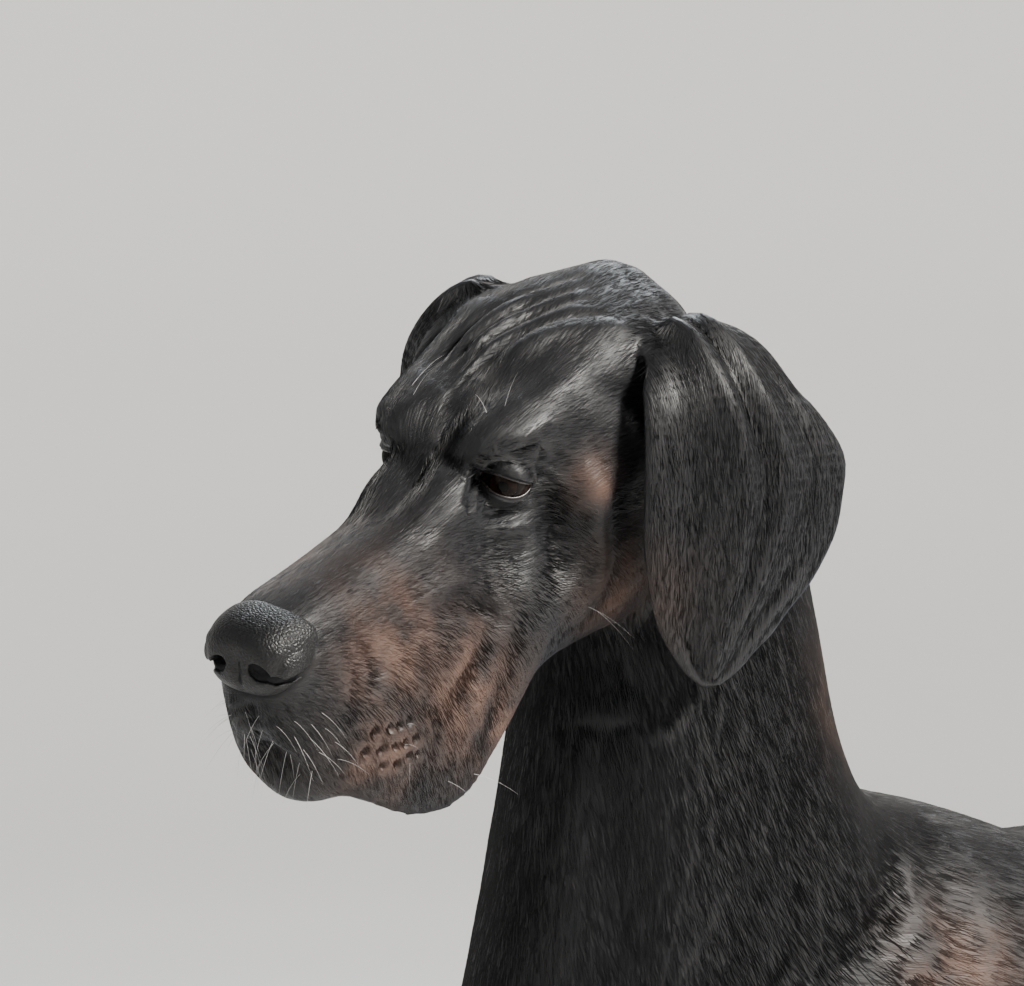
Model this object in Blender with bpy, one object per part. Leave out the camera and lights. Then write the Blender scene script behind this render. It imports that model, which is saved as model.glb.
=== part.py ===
"""A great dane standing square, life size and still, in metres with +Z up.

It faces -Y with its head turned and tilted a little to its left, its left side is at +X, and it rests on the floor
at Z = 0. The flesh is built whole, from lofts and ellipsoids fused by a voxel remesh and then creased and swelled in
short strokes, and is parted by thin cuts. Lengths in the tables are centimetres on a dog 84 cm at the withers; those
of the head are on a head 37.5 cm long.
"""
import math

import bmesh
import bpy
import numpy as np
from mathutils import Matrix, Vector

WITHERS_HEIGHT = 0.84
HEAD_LENGTH = 0.375
HEAD_YAW = math.radians(18)
HEAD_DROP = math.radians(16.5)
HEAD_TILT = math.radians(8.5)
CM = WITHERS_HEIGHT / 84
HEAD_CM = HEAD_LENGTH / 37.5
GAP = 0.0003
VOXEL = 0.0034
FACE_TRIANGLES = 4900
PAW_TRIANGLES = 1700
TRUNK_TRIANGLES = 3300

HEAD_JOINT = Vector((0.6, -16.5, 109.0)) * CM
GAZE = Matrix.Rotation(HEAD_YAW, 3, "Z")
HEAD_TURN = GAZE @ Matrix.Rotation(HEAD_DROP, 3, "X") @ Matrix.Rotation(HEAD_TILT, 3, "Y")
NOSE_TO_JOINT = 35.0

COAT = (0.012, 0.011, 0.011)
NOSE_LEATHER = (0.018, 0.018, 0.020)
IRIS = (0.035, 0.016, 0.007)

# Rows are x, y, z, half width, above, below, squareness.
TORSO = [
    (0, -27.0, 61.0, 2.5, 3.0, 3.0, 2.0),
    (0, -24.4, 62.0, 6.8, 8.4, 8.4, 2.1),
    (0, -18.4, 64.2, 9.9, 13.2, 15.0, 2.2),
    (0, -10.0, 66.2, 11.8, 16.0, 21.6, 2.2),
    (0, -2.5, 66.8, 12.8, 18.4, 23.6, 2.2),
    (0, 6.0, 66.8, 13.6, 16.8, 24.0, 2.2),
    (0, 13.6, 67.0, 14.2, 14.2, 22.6, 2.2),
    (0, 21.0, 68.0, 13.8, 12.8, 20.0, 2.2),
    (0, 28.4, 69.5, 12.2, 11.8, 16.0, 2.2),
    (0, 35.0, 70.5, 10.6, 11.2, 12.6, 2.2),
    (0, 41.5, 70.5, 10.4, 11.2, 12.2, 2.2),
    (0, 48.5, 69.5, 11.2, 11.0, 12.0, 2.2),
    (0, 54.5, 68.0, 10.0, 9.6, 11.5, 2.2),
    (0, 59.0, 67.5, 6.5, 7.4, 9.0, 2.1),
    (0, 61.0, 67.5, 2.5, 3.4, 4.5, 2.0),
]
NECK = [
    (1.2, -19.6, 109.0, 5.8, 5.6, 6.6, 2.1),
    (0.2, -15.0, 103.5, 6.9, 7.4, 8.0, 2.1),
    (0, -12.6, 95.0, 7.5, 8.4, 9.0, 2.1),
    (0, -11.2, 86.5, 8.4, 8.6, 12.4, 2.1),
    (0, -8.2, 78.5, 9.8, 10.0, 19.2, 2.1),
    (0, -3.4, 70.0, 11.0, 12.6, 21.5, 2.1),
    (0, 4.0, 62.0, 10.5, 13.5, 16.0, 2.0),
]
FORELEG = [
    (10.6, -1.5, 52.0, 3.4, 4.2, 4.8, 2.1),
    (10.5, -2.5, 45.0, 3.7, 4.3, 4.7, 2.1),
    (10.3, -3.6, 39.0, 3.6, 3.9, 4.1, 2.1),
    (10.1, -4.4, 31.0, 3.1, 3.2, 3.3, 2.2),
    (10.0, -5.0, 24.5, 2.8, 2.8, 2.8, 2.3),
    (10.0, -5.4, 20.5, 3.1, 3.1, 3.1, 2.4),
    (10.0, -5.6, 16.5, 2.7, 2.5, 2.8, 2.3),
    (10.0, -6.2, 12.0, 2.7, 2.5, 2.7, 2.3),
    (10.0, -7.6, 7.6, 3.4, 3.2, 3.3, 2.3),
    (10.0, -8.6, 4.6, 3.6, 3.4, 3.6, 2.3),
]
HIND_LEG = [
    (9.6, 42.0, 58.0, 4.4, 6.0, 6.0, 2.1),
    (10.2, 45.0, 50.0, 4.2, 6.0, 6.2, 2.1),
    (10.2, 51.5, 42.5, 3.6, 4.9, 5.2, 2.1),
    (9.9, 58.5, 35.5, 2.9, 3.6, 3.9, 2.1),
    (9.6, 65.1, 29.0, 2.4, 2.8, 3.0, 2.2),
    (9.5, 68.3, 24.0, 2.5, 2.9, 3.0, 2.3),
    (9.5, 68.5, 18.0, 2.2, 2.3, 2.5, 2.3),
    (9.5, 68.1, 12.0, 2.2, 2.3, 2.5, 2.3),
    (9.5, 66.9, 7.4, 2.9, 2.9, 3.0, 2.3),
    (9.5, 65.9, 4.4, 3.2, 3.1, 3.3, 2.3),
]
TAIL = [
    (0, 51.5, 76.0, 3.6, 3.0, 4.0, 2.0),
    (0, 58.0, 75.6, 3.2, 3.0, 3.2, 2.0),
    (0, 62.9, 71.5, 2.8, 2.6, 2.6, 2.0),
    (0, 66.1, 64.0, 2.3, 2.2, 2.2, 2.0),
    (0, 67.9, 55.0, 1.8, 1.8, 1.8, 2.0),
    (0, 69.3, 45.0, 1.35, 1.35, 1.35, 2.0),
    (0, 71.5, 36.0, 0.95, 0.95, 0.95, 2.0),
    (0, 74.5, 28.5, 0.5, 0.5, 0.5, 2.0),
]
# Muscles and joints on the left side: centre, radii, degrees about X, Y and Z.
MUSCLES = [
    ((7.6, -6.0, 69.0), (3.8, 8.5, 15.0), (-33, -12, 0)),
    ((7.6, -14.0, 62.5), (5.6, 8.0, 9.0), (-20, 0, 0)),
    ((9.6, -8.5, 56.0), (4.2, 9.0, 7.0), (-40, 0, 0)),
    ((9.6, -1.5, 57.5), (3.9, 7.6, 11.6), (-14, 0, 0)),
    ((10.4, 1.8, 46.6), (2.4, 2.8, 4.2), (-10, 0, 0)),
    ((3.6, -17.0, 62.0), (5.4, 6.2, 9.0), (-15, 0, 0)),
    ((6.4, 47.5, 66.5), (6.2, 13.0, 12.5), (0, -6, 0)),
    ((7.8, 46.5, 58.5), (5.6, 11.0, 12.5), (20, -4, 0)),
    ((7.4, 53.5, 58.0), (4.8, 8.4, 13.5), (12, -4, 0)),
    ((9.8, 41.3, 52.0), (4.0, 5.0, 6.4), (0, 0, 0)),
    ((9.7, 52.0, 46.5), (3.2, 5.6, 10.5), (38, 0, 0)),
    ((9.5, 70.3, 26.6), (1.8, 1.9, 3.4), (18, 0, 0)),
    ((10.0, -3.2, 19.8), (1.7, 1.3, 2.0), (0, 0, 0)),
]
# Toes: across, ahead, size; the middle two reach furthest.
TOES = ((-3.2, 0.0, 0.92), (-1.2, 1.9, 1.0), (1.2, 1.9, 1.0), (3.2, 0.0, 0.92))
PAWS = {"fore": ((10.0, -9.0), 1.0), "hind": ((9.5, 64.3), 0.92)}

# Rows of the head are along, top, bridge half width, middle half width, flew half width, low edge, roof.
HEAD = [
    (-0.4, -1.0, 1.4, 1.7, 1.3, -6.0, -5.6),
    (-1.4, -0.3, 2.0, 2.5, 2.1, -7.8, -6.8),
    (-3.8, 0.1, 2.3, 3.1, 3.3, -10.6, -7.6),
    (-7.2, 0.2, 2.4, 3.5, 4.3, -13.3, -8.0),
    (-10.4, 0.4, 2.4, 3.6, 4.8, -14.5, -8.0),
    (-13.4, 0.5, 2.5, 3.8, 5.0, -14.2, -8.0),
    (-16.0, 0.9, 2.5, 3.7, 5.1, -12.2, -8.4),
    (-18.4, 2.4, 2.9, 4.0, 5.3, -10.2, -9.3),
    (-20.8, 4.2, 3.7, 5.2, 5.7, -9.7, -9.4),
    (-23.6, 5.7, 4.2, 6.1, 6.0, -9.8, -9.8),
    (-27.0, 6.2, 4.4, 6.7, 6.1, -10.2, -10.2),
    (-31.0, 6.4, 4.3, 6.7, 6.0, -10.4, -10.6),
    (-34.5, 5.8, 3.7, 6.0, 5.4, -9.4, -9.8),
    (-37.6, 4.2, 2.2, 4.2, 4.0, -6.6, -7.0),
]
# Rows are along, side, up, half width, above, below, squareness.
JAW = [
    (-2.6, 0, -9.2, 1.4, 1.0, 1.2, 2.2),
    (-3.8, 0, -9.3, 2.4, 2.0, 2.2, 2.3),
    (-7.0, 0, -9.2, 2.9, 2.6, 2.6, 2.4),
    (-12.0, 0, -9.0, 3.4, 3.0, 2.7, 2.4),
    (-18.0, 0, -8.4, 4.2, 3.2, 2.6, 2.3),
    (-24.0, 0, -7.6, 5.0, 3.6, 3.0, 2.3),
    (-30.0, 0, -7.0, 5.0, 3.6, 3.8, 2.3),
]
NOSE = [
    (0.1, 0, -2.1, 1.2, 0.7, 1.0, 2.4),
    (-0.3, 0, -2.0, 1.95, 1.3, 1.7, 2.6),
    (-1.2, 0, -1.9, 2.4, 1.65, 1.9, 2.7),
    (-2.4, 0, -1.8, 2.5, 1.6, 1.7, 2.6),
    (-3.4, 0, -1.7, 2.2, 1.1, 1.2, 2.4),
]
# Forms of the head: along, side and up of the centre; radii along, across and up; degrees about X, Y and Z.
HEAD_FORMS = [
    ((-26.8, 4.5, -5.2), (5.0, 2.4, 4.9), (0, 0, 4)),
    ((-21.6, 2.5, 2.7), (5.2, 2.9, 2.3), (0, 0, 6)),
    ((-33.4, 0.0, 4.3), (4.0, 2.6, 2.6), (0, 0, 0)),
]
# The corners of the left eye's opening, and the ball behind them.
INNER_CORNER = (-17.7, 2.4, 0.9)
OUTER_CORNER = (-19.1, 4.5, 0.15)
CORNER_DEPTH = 0.36
EYE_RADIUS = 1.32
LID_THICKNESS = 0.4
SLIT_HALF_HEIGHT = 0.5

# Strokes over the left side of the head: width, height (negative for a furrow), and along, side, up of its points.
STROKES = [
    (1.2, 0.30, [(-17.4, 2.2, 2.4), (-19.6, 4.0, 2.6), (-21.8, 5.2, 1.6)]),
    (0.8, -0.30, [(-16.8, 1.9, 1.2), (-17.6, 2.6, 1.7), (-18.8, 4.0, 1.5), (-20.2, 5.0, 0.6)]),
    (2.0, -0.40, [(-17.6, 3.4, -0.7), (-19.6, 4.5, -1.3)]),
    (1.5, -0.40, [(-15.0, 3.6, -2.2), (-18.0, 4.2, -3.2), (-20.6, 5.0, -3.6)]),
    (1.0, -0.50, [(-16.2, 0.0, 1.0), (-19.5, 0.0, 3.2), (-23.0, 0.0, 5.4), (-27.5, 0.0, 6.4)]),
    (0.6, -0.28, [(-16.8, 1.6, 1.6), (-19.0, 1.5, 3.4), (-23.0, 2.0, 5.4), (-28.0, 3.6, 6.2)]),
    (0.6, 0.20, [(-17.0, 1.0, 1.6), (-19.5, 0.8, 3.4), (-24.0, 1.2, 5.8), (-29.5, 2.6, 6.7)]),
    (0.7, -0.26, [(-19.0, 2.2, 4.0), (-22.0, 2.9, 5.0), (-25.5, 4.2, 5.5), (-28.5, 5.4, 4.8)]),
    (1.3, 0.40, [(-22.0, 5.6, -1.0), (-25.5, 6.4, -1.0), (-29.0, 6.8, -0.8)]),
    (1.6, -0.35, [(-21.4, 5.4, -3.2), (-23.6, 5.8, -4.4), (-24.2, 5.8, -6.4)]),
    (1.0, -0.30, [(-17.6, 4.8, -6.4), (-15.4, 4.8, -8.8), (-13.6, 4.8, -11.0)]),
    (1.1, 0.22, [(-19.6, 5.2, -6.6), (-17.4, 5.2, -9.4), (-15.4, 5.2, -11.6)]),
    (0.7, -0.20, [(-4.6, 3.0, -2.2), (-5.4, 3.4, -4.2), (-4.4, 3.2, -6.2)]),
    (1.6, 0.30, [(-7.0, 4.0, -7.6), (-8.4, 4.4, -9.6)]),
    (0.45, -0.35, [(-0.4, 0.0, -4.4), (-0.6, 0.0, -5.6), (-1.2, 0.0, -7.2)]),
]
# The left ear from the front of its root: front edge back, out and down, then its back edge, and how far it bellies.
EAR_ROOT = (-28.0, 5.5, 5.7)
EAR = [
    (1.6, -1.8, 1.2, 5.4, -2.0, 1.6, 0.0),
    (0.0, 0.2, -0.2, 6.4, 1.7, 0.2, 0.7),
    (-1.6, 1.5, 3.0, 8.0, 4.3, 3.1, 1.3),
    (-2.1, 1.7, 7.0, 10.2, 5.8, 7.3, 1.3),
    (-1.7, 1.6, 11.0, 9.0, 5.2, 12.0, 1.0),
    (0.0, 1.5, 14.4, 6.4, 3.9, 15.1, 0.6),
    (1.6, 1.8, 16.4, 4.8, 2.9, 16.9, 0.2),
    (2.8, 2.2, 17.4, 3.7, 2.5, 17.4, 0.0),
]
EAR_THICKNESS = 0.5
# The slots of the nostrils: centre, radii and turn as in HEAD_FORMS.
NOSTRILS = [
    ((-0.2, 1.2, -2.0), (1.2, 0.55, 0.5), (0, 30, 20)),
    ((-1.2, 2.4, -2.5), (1.3, 0.8, 0.2), (0, 20, 10)),
]
# Claw rings from root to tip: ahead of the toe's middle, height, radius.
CLAW = [(1.2, 2.3, 0.5), (2.3, 2.2, 0.52), (3.0, 1.6, 0.38), (3.4, 0.8, 0.14)]

# Cuts: middle of the joint face, its outward direction, half sizes across it, and how deep the cutter reaches.
CUTS = {
    "tail": ((0, 62.9, 50.0), (0, 1, 0), (4.2, 32.0), 20.0),
    "head": ((0.5, -18.6, 103.5), (0.2, -0.84, 0.51), (30.0, 30.0), 60.0),
    "neck": ((0, -9.5, 77.5), (0, -0.45, 0.893), (30.0, 40.0), 60.0),
}
LEG_CUTS = {
    "foreleg": ((13.5, -4.0, 42.4), (0, 0, -1), (10.0, 14.0), 60.0),
    "hind_leg": ((13.0, 58.0, 56.2), (0, 0, -1), (12.4, 22.0), 70.0),
}
PAW_CUTS = {"fore": ((0, -9.0, 8.2), 16.0), "hind": ((0, 64.3, 7.6), 16.0)}


def clear_scene():
    for old in list(bpy.data.objects):
        bpy.data.objects.remove(old)


def material(name, colour, roughness):
    made = bpy.data.materials.new(name)
    made.use_nodes = True
    shader = made.node_tree.nodes["Principled BSDF"]
    shader.inputs["Base Color"].default_value = (*colour, 1)
    shader.inputs["Roughness"].default_value = roughness
    return made


def add_object(name, mesh):
    made = bpy.data.objects.new(name, mesh)
    bpy.context.scene.collection.objects.link(made)
    return made


def apply_modifiers(obj):
    graph = bpy.context.evaluated_depsgraph_get()
    made = bpy.data.meshes.new_from_object(obj.evaluated_get(graph))
    obj.modifiers.clear()
    obj.data = made


class Shapes:
    """Closed lofts gathered as plain points and faces, to be made into one mesh."""

    def __init__(self):
        self.points = []
        self.faces = []

    def loft(self, rings):
        """Bridges rings of points, all with the same count, and caps both ends."""
        start, count = len(self.points), len(rings[0])
        for ring in rings:
            self.points.extend(tuple(point) for point in ring)
        for row in range(len(rings) - 1):
            low = start + row * count
            for i in range(count):
                j = (i + 1) % count
                self.faces.append((low + i, low + j, low + count + j, low + count + i))
        self.faces.append(tuple(range(start, start + count))[::-1])
        self.faces.append(tuple(range(len(self.points) - count, len(self.points))))

    def ball(self, centre, radii, turn, sides=24):
        """An ellipsoid: centre and radii in metres, and its turn as a 3x3 matrix."""
        rings = []
        for i in range(1, sides // 2):
            tilt = math.pi * i / (sides // 2)
            ring = []
            for j in range(sides):
                spin = 2 * math.pi * j / sides
                place = (math.sin(tilt) * math.cos(spin), math.sin(tilt) * math.sin(spin), math.cos(tilt))
                ring.append(centre + turn @ Vector([p * r for p, r in zip(place, radii)]))
            rings.append(ring)
        self.loft(rings)

    def mesh(self, name):
        made = bpy.data.meshes.new(name)
        made.from_pydata(self.points, [], self.faces)
        builder = bmesh.new()
        builder.from_mesh(made)
        bmesh.ops.recalc_face_normals(builder, faces=builder.faces)
        builder.to_mesh(made)
        builder.free()
        return made


def head_point(along, side, up):
    """A point of the head: along is 0 at the nose tip and negative behind it, up is 0 on the bridge of the nose."""
    place = Vector((side, -(along + NOSE_TO_JOINT), up)) * HEAD_CM
    return HEAD_JOINT + HEAD_TURN @ place


def head_coordinates(points):
    """The inverse of head_point for an array: along, side and up in head centimetres."""
    local = (points - np.array(HEAD_JOINT)) @ np.array(HEAD_TURN) / HEAD_CM
    return np.stack([-local[:, 1] - NOSE_TO_JOINT, local[:, 0], local[:, 2]], 1)


def flow(rows, steps):
    """A Catmull-Rom curve through the rows of a table, with that many steps between rows."""
    rows = np.asarray(rows, float)
    padded = np.vstack([2 * rows[0] - rows[1], rows, 2 * rows[-1] - rows[-2]])
    out = []
    for a, b, c, d in zip(padded, padded[1:], padded[2:], padded[3:]):
        for t in np.arange(steps) / steps:
            bend, twist = 2 * a - 5 * b + 4 * c - d, 3 * b - 3 * c + d - a
            out.append((2 * b + (c - a) * t + bend * t**2 + twist * t**3) / 2)
    out.append(rows[-1])
    return np.array(out)


def section(sizes, sides):
    """One ring on a plane: sizes are half width, above, below and squareness."""
    half_width, above, below, squareness = sizes
    ring = []
    for i in range(sides):
        angle = 2 * math.pi * i / sides
        across, high = math.cos(angle), math.sin(angle)
        reach = above if high > 0 else below
        ring.append(
            (
                half_width * math.copysign(abs(across) ** (2 / squareness), across),
                reach * math.copysign(abs(high) ** (2 / squareness), high),
            )
        )
    return ring


def body_loft(shapes, rows, sides=32, mirrored=False, steps=4):
    for flip in (1, -1) if mirrored else (1,):
        table = flow(rows, steps)
        centres = [Vector((row[0] * flip, row[1], row[2])) for row in table]
        rings = []
        for i, row in enumerate(table):
            along = (centres[min(i + 1, len(centres) - 1)] - centres[max(i - 1, 0)]).normalized()
            side = (Vector((1, 0, 0)) - along * along.x).normalized()
            up = side.cross(along)
            rings.append([(centres[i] + side * x + up * z) * CM for x, z in section(row[3:], sides)])
        shapes.loft(rings)


def jaw_loft(shapes, rows, sides=32, steps=4):
    rings = []
    for row in flow(rows, steps):
        rings.append([head_point(row[0], row[1] + x, row[2] + z) for x, z in section(row[3:], sides)])
    shapes.loft(rings)


def head_ring(row, sides_between=4):
    """A section of the head: flat on the bridge, full at the flews, and hollow between them where the jaw sits."""
    along, top, bridge, middle, flew, low, roof = row
    deep = top - low
    half = [
        (0, top),
        (bridge, top - 0.04 * deep),
        (middle, top - 0.32 * deep),
        (flew, low + 0.26 * deep),
        (flew - 0.14 * flew, low),
        (flew - 0.36 * flew, 0.5 * (low + roof)),
        (0, roof),
    ]
    outline = half + [(-s, u) for s, u in half[-2:0:-1]]
    closed = outline[-1:] + outline + outline[:2]
    curve = flow(closed, sides_between)[sides_between : -2 * sides_between]
    return [head_point(along, s, u) for s, u in curve]


def spun(turn, flip):
    """The turn of an ellipsoid on the left side, or of its mirror image where flip is -1."""
    x, y, z = (math.radians(a) for a in turn)
    return (
        Matrix.Rotation(z * flip, 3, "Z") @ Matrix.Rotation(y * flip, 3, "Y") @ Matrix.Rotation(x, 3, "X")
    )


def muscle(shapes, centre, radii, turn=(0, 0, 0)):
    """The same ellipsoid on both sides of the body."""
    for flip in (1, -1):
        middle = Vector((centre[0] * flip, *centre[1:])) * CM
        shapes.ball(middle, [r * CM for r in radii], spun(turn, flip))


def head_form(shapes, place, radii, turn, sides=24):
    """The same ellipsoid on both sides of the head, or one on the middle."""
    for flip in (1, -1) if place[1] else (1,):
        size = [radii[1] * HEAD_CM, radii[0] * HEAD_CM, radii[2] * HEAD_CM]
        shapes.ball(head_point(place[0], place[1] * flip, place[2]), size, HEAD_TURN @ spun(turn, flip), sides)


def paw(shapes, heel, scale):
    """Four arched toes with the pads under them."""
    x, y = heel
    for across, ahead, size in TOES:
        grown = size * scale
        knuckle = (x + across * scale, y - (1.0 + ahead) * scale, 3.7 * scale)
        tip = (x + across * 1.05 * scale, y - (3.9 + ahead) * scale, 1.9 * scale)
        muscle(shapes, knuckle, [1.7 * grown, 2.7 * grown, 1.8 * grown], (30, 0, 0))
        muscle(shapes, tip, [1.65 * grown, 2.3 * grown, 2.05 * grown])
    muscle(shapes, (x, y + 0.8 * scale, 3.2 * scale), [3.5 * scale, 3.6 * scale, 3.0 * scale])
    muscle(shapes, (x, y + 0.4 * scale, 1.5 * scale), [3.1 * scale, 2.9 * scale, 1.9 * scale])


def flesh_shapes():
    shapes = Shapes()
    body_loft(shapes, TORSO)
    body_loft(shapes, NECK)
    body_loft(shapes, TAIL, sides=20)
    body_loft(shapes, FORELEG, sides=24, mirrored=True)
    body_loft(shapes, HIND_LEG, sides=24, mirrored=True)
    for centre, radii, turn in MUSCLES:
        muscle(shapes, centre, radii, turn)
    for heel, scale in PAWS.values():
        paw(shapes, heel, scale)
    shapes.loft([head_ring(row) for row in flow(HEAD, 4)])
    jaw_loft(shapes, JAW)
    for place, radii, turn in HEAD_FORMS:
        head_form(shapes, place, radii, turn)
    for flip in (1, -1):
        lids = [(EYE_RADIUS + LID_THICKNESS) * HEAD_CM] * 3
        shapes.ball(eye_frame(flip)[0], lids, Matrix.Identity(3))
    return shapes


def points_of(mesh):
    flat = np.empty(len(mesh.vertices) * 3, np.float32)
    mesh.vertices.foreach_get("co", flat)
    return flat.reshape(-1, 3).astype(float)


def set_points(mesh, points):
    mesh.vertices.foreach_set("co", points.astype(np.float32).ravel())
    mesh.update()


def relax(mesh, weight, rounds):
    """Laplacian smoothing, where weight from 0 to 1 says how much each point takes part."""
    points = points_of(mesh)
    edges = np.empty(len(mesh.edges) * 2, np.int32)
    mesh.edges.foreach_get("vertices", edges)
    a, b = edges.reshape(-1, 2).T
    count = len(points)
    degree = np.bincount(a, minlength=count) + np.bincount(b, minlength=count)
    for _ in range(rounds):
        total = [np.bincount(a, points[b, k], count) + np.bincount(b, points[a, k], count) for k in range(3)]
        points += (np.stack(total, 1) / degree[:, None] - points) * (0.55 * weight)[:, None]
    set_points(mesh, points)


def smooth_step(value, low, high):
    t = np.clip((value - low) / (high - low), 0, 1)
    return t * t * (3 - 2 * t)


def face_share(points):
    """1 on the face, falling to 0 behind the skull."""
    along = head_coordinates(points)[:, 0]
    return smooth_step(along, -36, -29) * (points[:, 2] > 85 * CM) * (points[:, 1] < -20 * CM)


def paw_share(points):
    return 1 - smooth_step(points[:, 2] / CM, 5, 12)


def trunk_share(points):
    return 1 - np.maximum(face_share(points), paw_share(points))


def fused(name, shapes, voxel):
    """The shapes as one closed skin."""
    obj = add_object(name, shapes.mesh(name))
    remesh = obj.modifiers.new("Fuse", "REMESH")
    remesh.mode = "VOXEL"
    remesh.voxel_size = voxel
    apply_modifiers(obj)
    return obj


def stroke(points, width, height, path):
    """How far each point of the head moves along its normal under one stroke and its mirror image."""
    moved = np.zeros(len(points))
    places = head_coordinates(points)
    for flip in (1, -1) if max(abs(p[1]) for p in path) else (1,):
        line = flow([(a, s * flip, u) for a, s, u in path], 8)
        nearest = np.array([places[np.argmin(((places - p) ** 2).sum(1))] for p in line])
        share = np.sin(np.pi * np.linspace(0.12, 0.88, len(line)))
        away = ((places[:, None, :] - nearest[None]) ** 2).sum(2)
        moved = np.maximum(moved, (np.exp(-away / width**2) * share).max(1))
    return moved * height * HEAD_CM


def sculpt_head(mesh):
    """Lays every stroke on the head."""
    points = points_of(mesh)
    normals = np.empty(len(points) * 3, np.float32)
    mesh.vertices.foreach_get("normal", normals)
    normals = normals.reshape(-1, 3)
    head = np.flatnonzero(face_share(points) > 0)
    for width, height, path in STROKES:
        points[head] += normals[head] * stroke(points[head], width, height, path)[:, None]
    set_points(mesh, points)


def thinned(obj, inside, triangles):
    """Brings the faces whose points are inside down to so many triangles, and leaves the rest alone."""
    mesh = obj.data
    chosen = inside(points_of(mesh)) > 0.5
    inner = total = 0
    for face in mesh.polygons:
        size = len(face.vertices) - 2
        total += size
        inner += size if all(chosen[i] for i in face.vertices) else 0
    group = obj.vertex_groups.new(name="thin")
    group.add(np.flatnonzero(chosen).tolist(), 1.0, "REPLACE")
    decimate = obj.modifiers.new("Thin", "DECIMATE")
    decimate.ratio = (total - inner + triangles) / total
    decimate.vertex_group = group.name
    apply_modifiers(obj)
    obj.vertex_groups.clear()


def keep_largest(obj):
    """Leaves only the largest closed surface, by the volume it holds."""
    builder = bmesh.new()
    builder.from_mesh(obj.data)
    unseen = set(builder.faces)
    shells = []
    while unseen:
        shell, edge_faces = [], [unseen.pop()]
        while edge_faces:
            face = edge_faces.pop()
            shell.append(face)
            for edge in face.edges:
                for other in edge.link_faces:
                    if other in unseen:
                        unseen.remove(other)
                        edge_faces.append(other)
        shells.append(shell)
    shells.sort(key=lambda faces: sum(f.calc_area() * f.calc_center_median().dot(f.normal) for f in faces))
    scraps = [face for shell in shells[:-1] for face in shell]
    bmesh.ops.delete(builder, geom=scraps, context="FACES")
    builder.to_mesh(obj.data)
    builder.free()


def boolean(obj, other, operation):
    """One Boolean with the other object, which is removed after it."""
    step = obj.modifiers.new("Boolean", "BOOLEAN")
    step.operation = operation
    step.solver = "EXACT"
    step.object = other
    apply_modifiers(obj)
    bpy.data.objects.remove(other)
    keep_largest(obj)


def box(place, outward, half, depth, grow=0.0):
    """A box whose joint face is centred on place and faces away from outward, grown on every side."""
    turn = Vector(outward).to_track_quat("Z", "Y").to_matrix().to_4x4()
    low = Vector((-half[0] * CM - grow, -half[1] * CM - grow, -grow))
    high = Vector((half[0] * CM + grow, half[1] * CM + grow, depth * CM + grow))
    builder = bmesh.new()
    bmesh.ops.create_cube(builder, size=1)
    for vert in builder.verts:
        vert.co = Vector([low[k] if vert.co[k] < 0 else high[k] for k in range(3)])
    builder.transform(Matrix.Translation(Vector(place) * CM) @ turn)
    mesh = bpy.data.meshes.new("cutter")
    builder.to_mesh(mesh)
    builder.free()
    return add_object("cutter", mesh)


def parted(obj, name, place, outward, half, depth):
    """Takes the node off obj at a flat joint face, and leaves the gap between them."""
    made = add_object(name, obj.data.copy())
    boolean(made, box(place, outward, half, depth), "INTERSECT")
    boolean(obj, box(place, outward, half, depth, GAP), "DIFFERENCE")
    return made


def grown(obj, by):
    """A copy of the object, pushed out along its normals."""
    made = add_object("cutter", obj.data.copy())
    points = points_of(made.data)
    normals = np.empty(len(points) * 3, np.float32)
    made.data.vertices.foreach_get("normal", normals)
    set_points(made.data, points + normals.reshape(-1, 3) * by)
    return made


def eye_frame(flip):
    """The middle of the ball, and the axes of the opening: along it, up and the way the eye faces."""
    inner = head_point(INNER_CORNER[0], INNER_CORNER[1] * flip, INNER_CORNER[2])
    outer = head_point(OUTER_CORNER[0], OUTER_CORNER[1] * flip, OUTER_CORNER[2])
    along = (outer - inner).normalized()
    upward = HEAD_TURN @ Vector((0, 0, 1))
    facing = upward.cross(along).normalized() * -flip
    across = facing.cross(along).normalized()
    return (inner + outer) / 2 - facing * (EYE_RADIUS - CORNER_DEPTH) * HEAD_CM, along, across, facing


def eyeball(name, flip, radius, sides=18):
    middle = eye_frame(flip)[0]
    shapes = Shapes()
    shapes.ball(middle, [radius] * 3, Matrix.Identity(3), sides)
    return add_object(name, shapes.mesh(name))


def eye_slit(flip, sides=16):
    """The almond opening between the lids, as a prism from the middle of the ball outwards."""
    middle, along, across, facing = eye_frame(flip)
    inner, outer = Vector(INNER_CORNER), Vector(OUTER_CORNER)
    half = (outer - inner).length / 2
    rings = []
    for reach in (0.3, 3.0):
        ring = []
        for i in range(sides):
            angle = 2 * math.pi * i / sides
            x = half * math.cos(angle)
            y = SLIT_HALF_HEIGHT * math.sin(angle) * abs(math.sin(angle)) ** 0.3
            ring.append(middle + (along * x + across * y + facing * reach) * HEAD_CM)
        rings.append(ring)
    shapes = Shapes()
    shapes.loft(rings)
    return add_object("cutter", shapes.mesh("cutter"))


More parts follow.
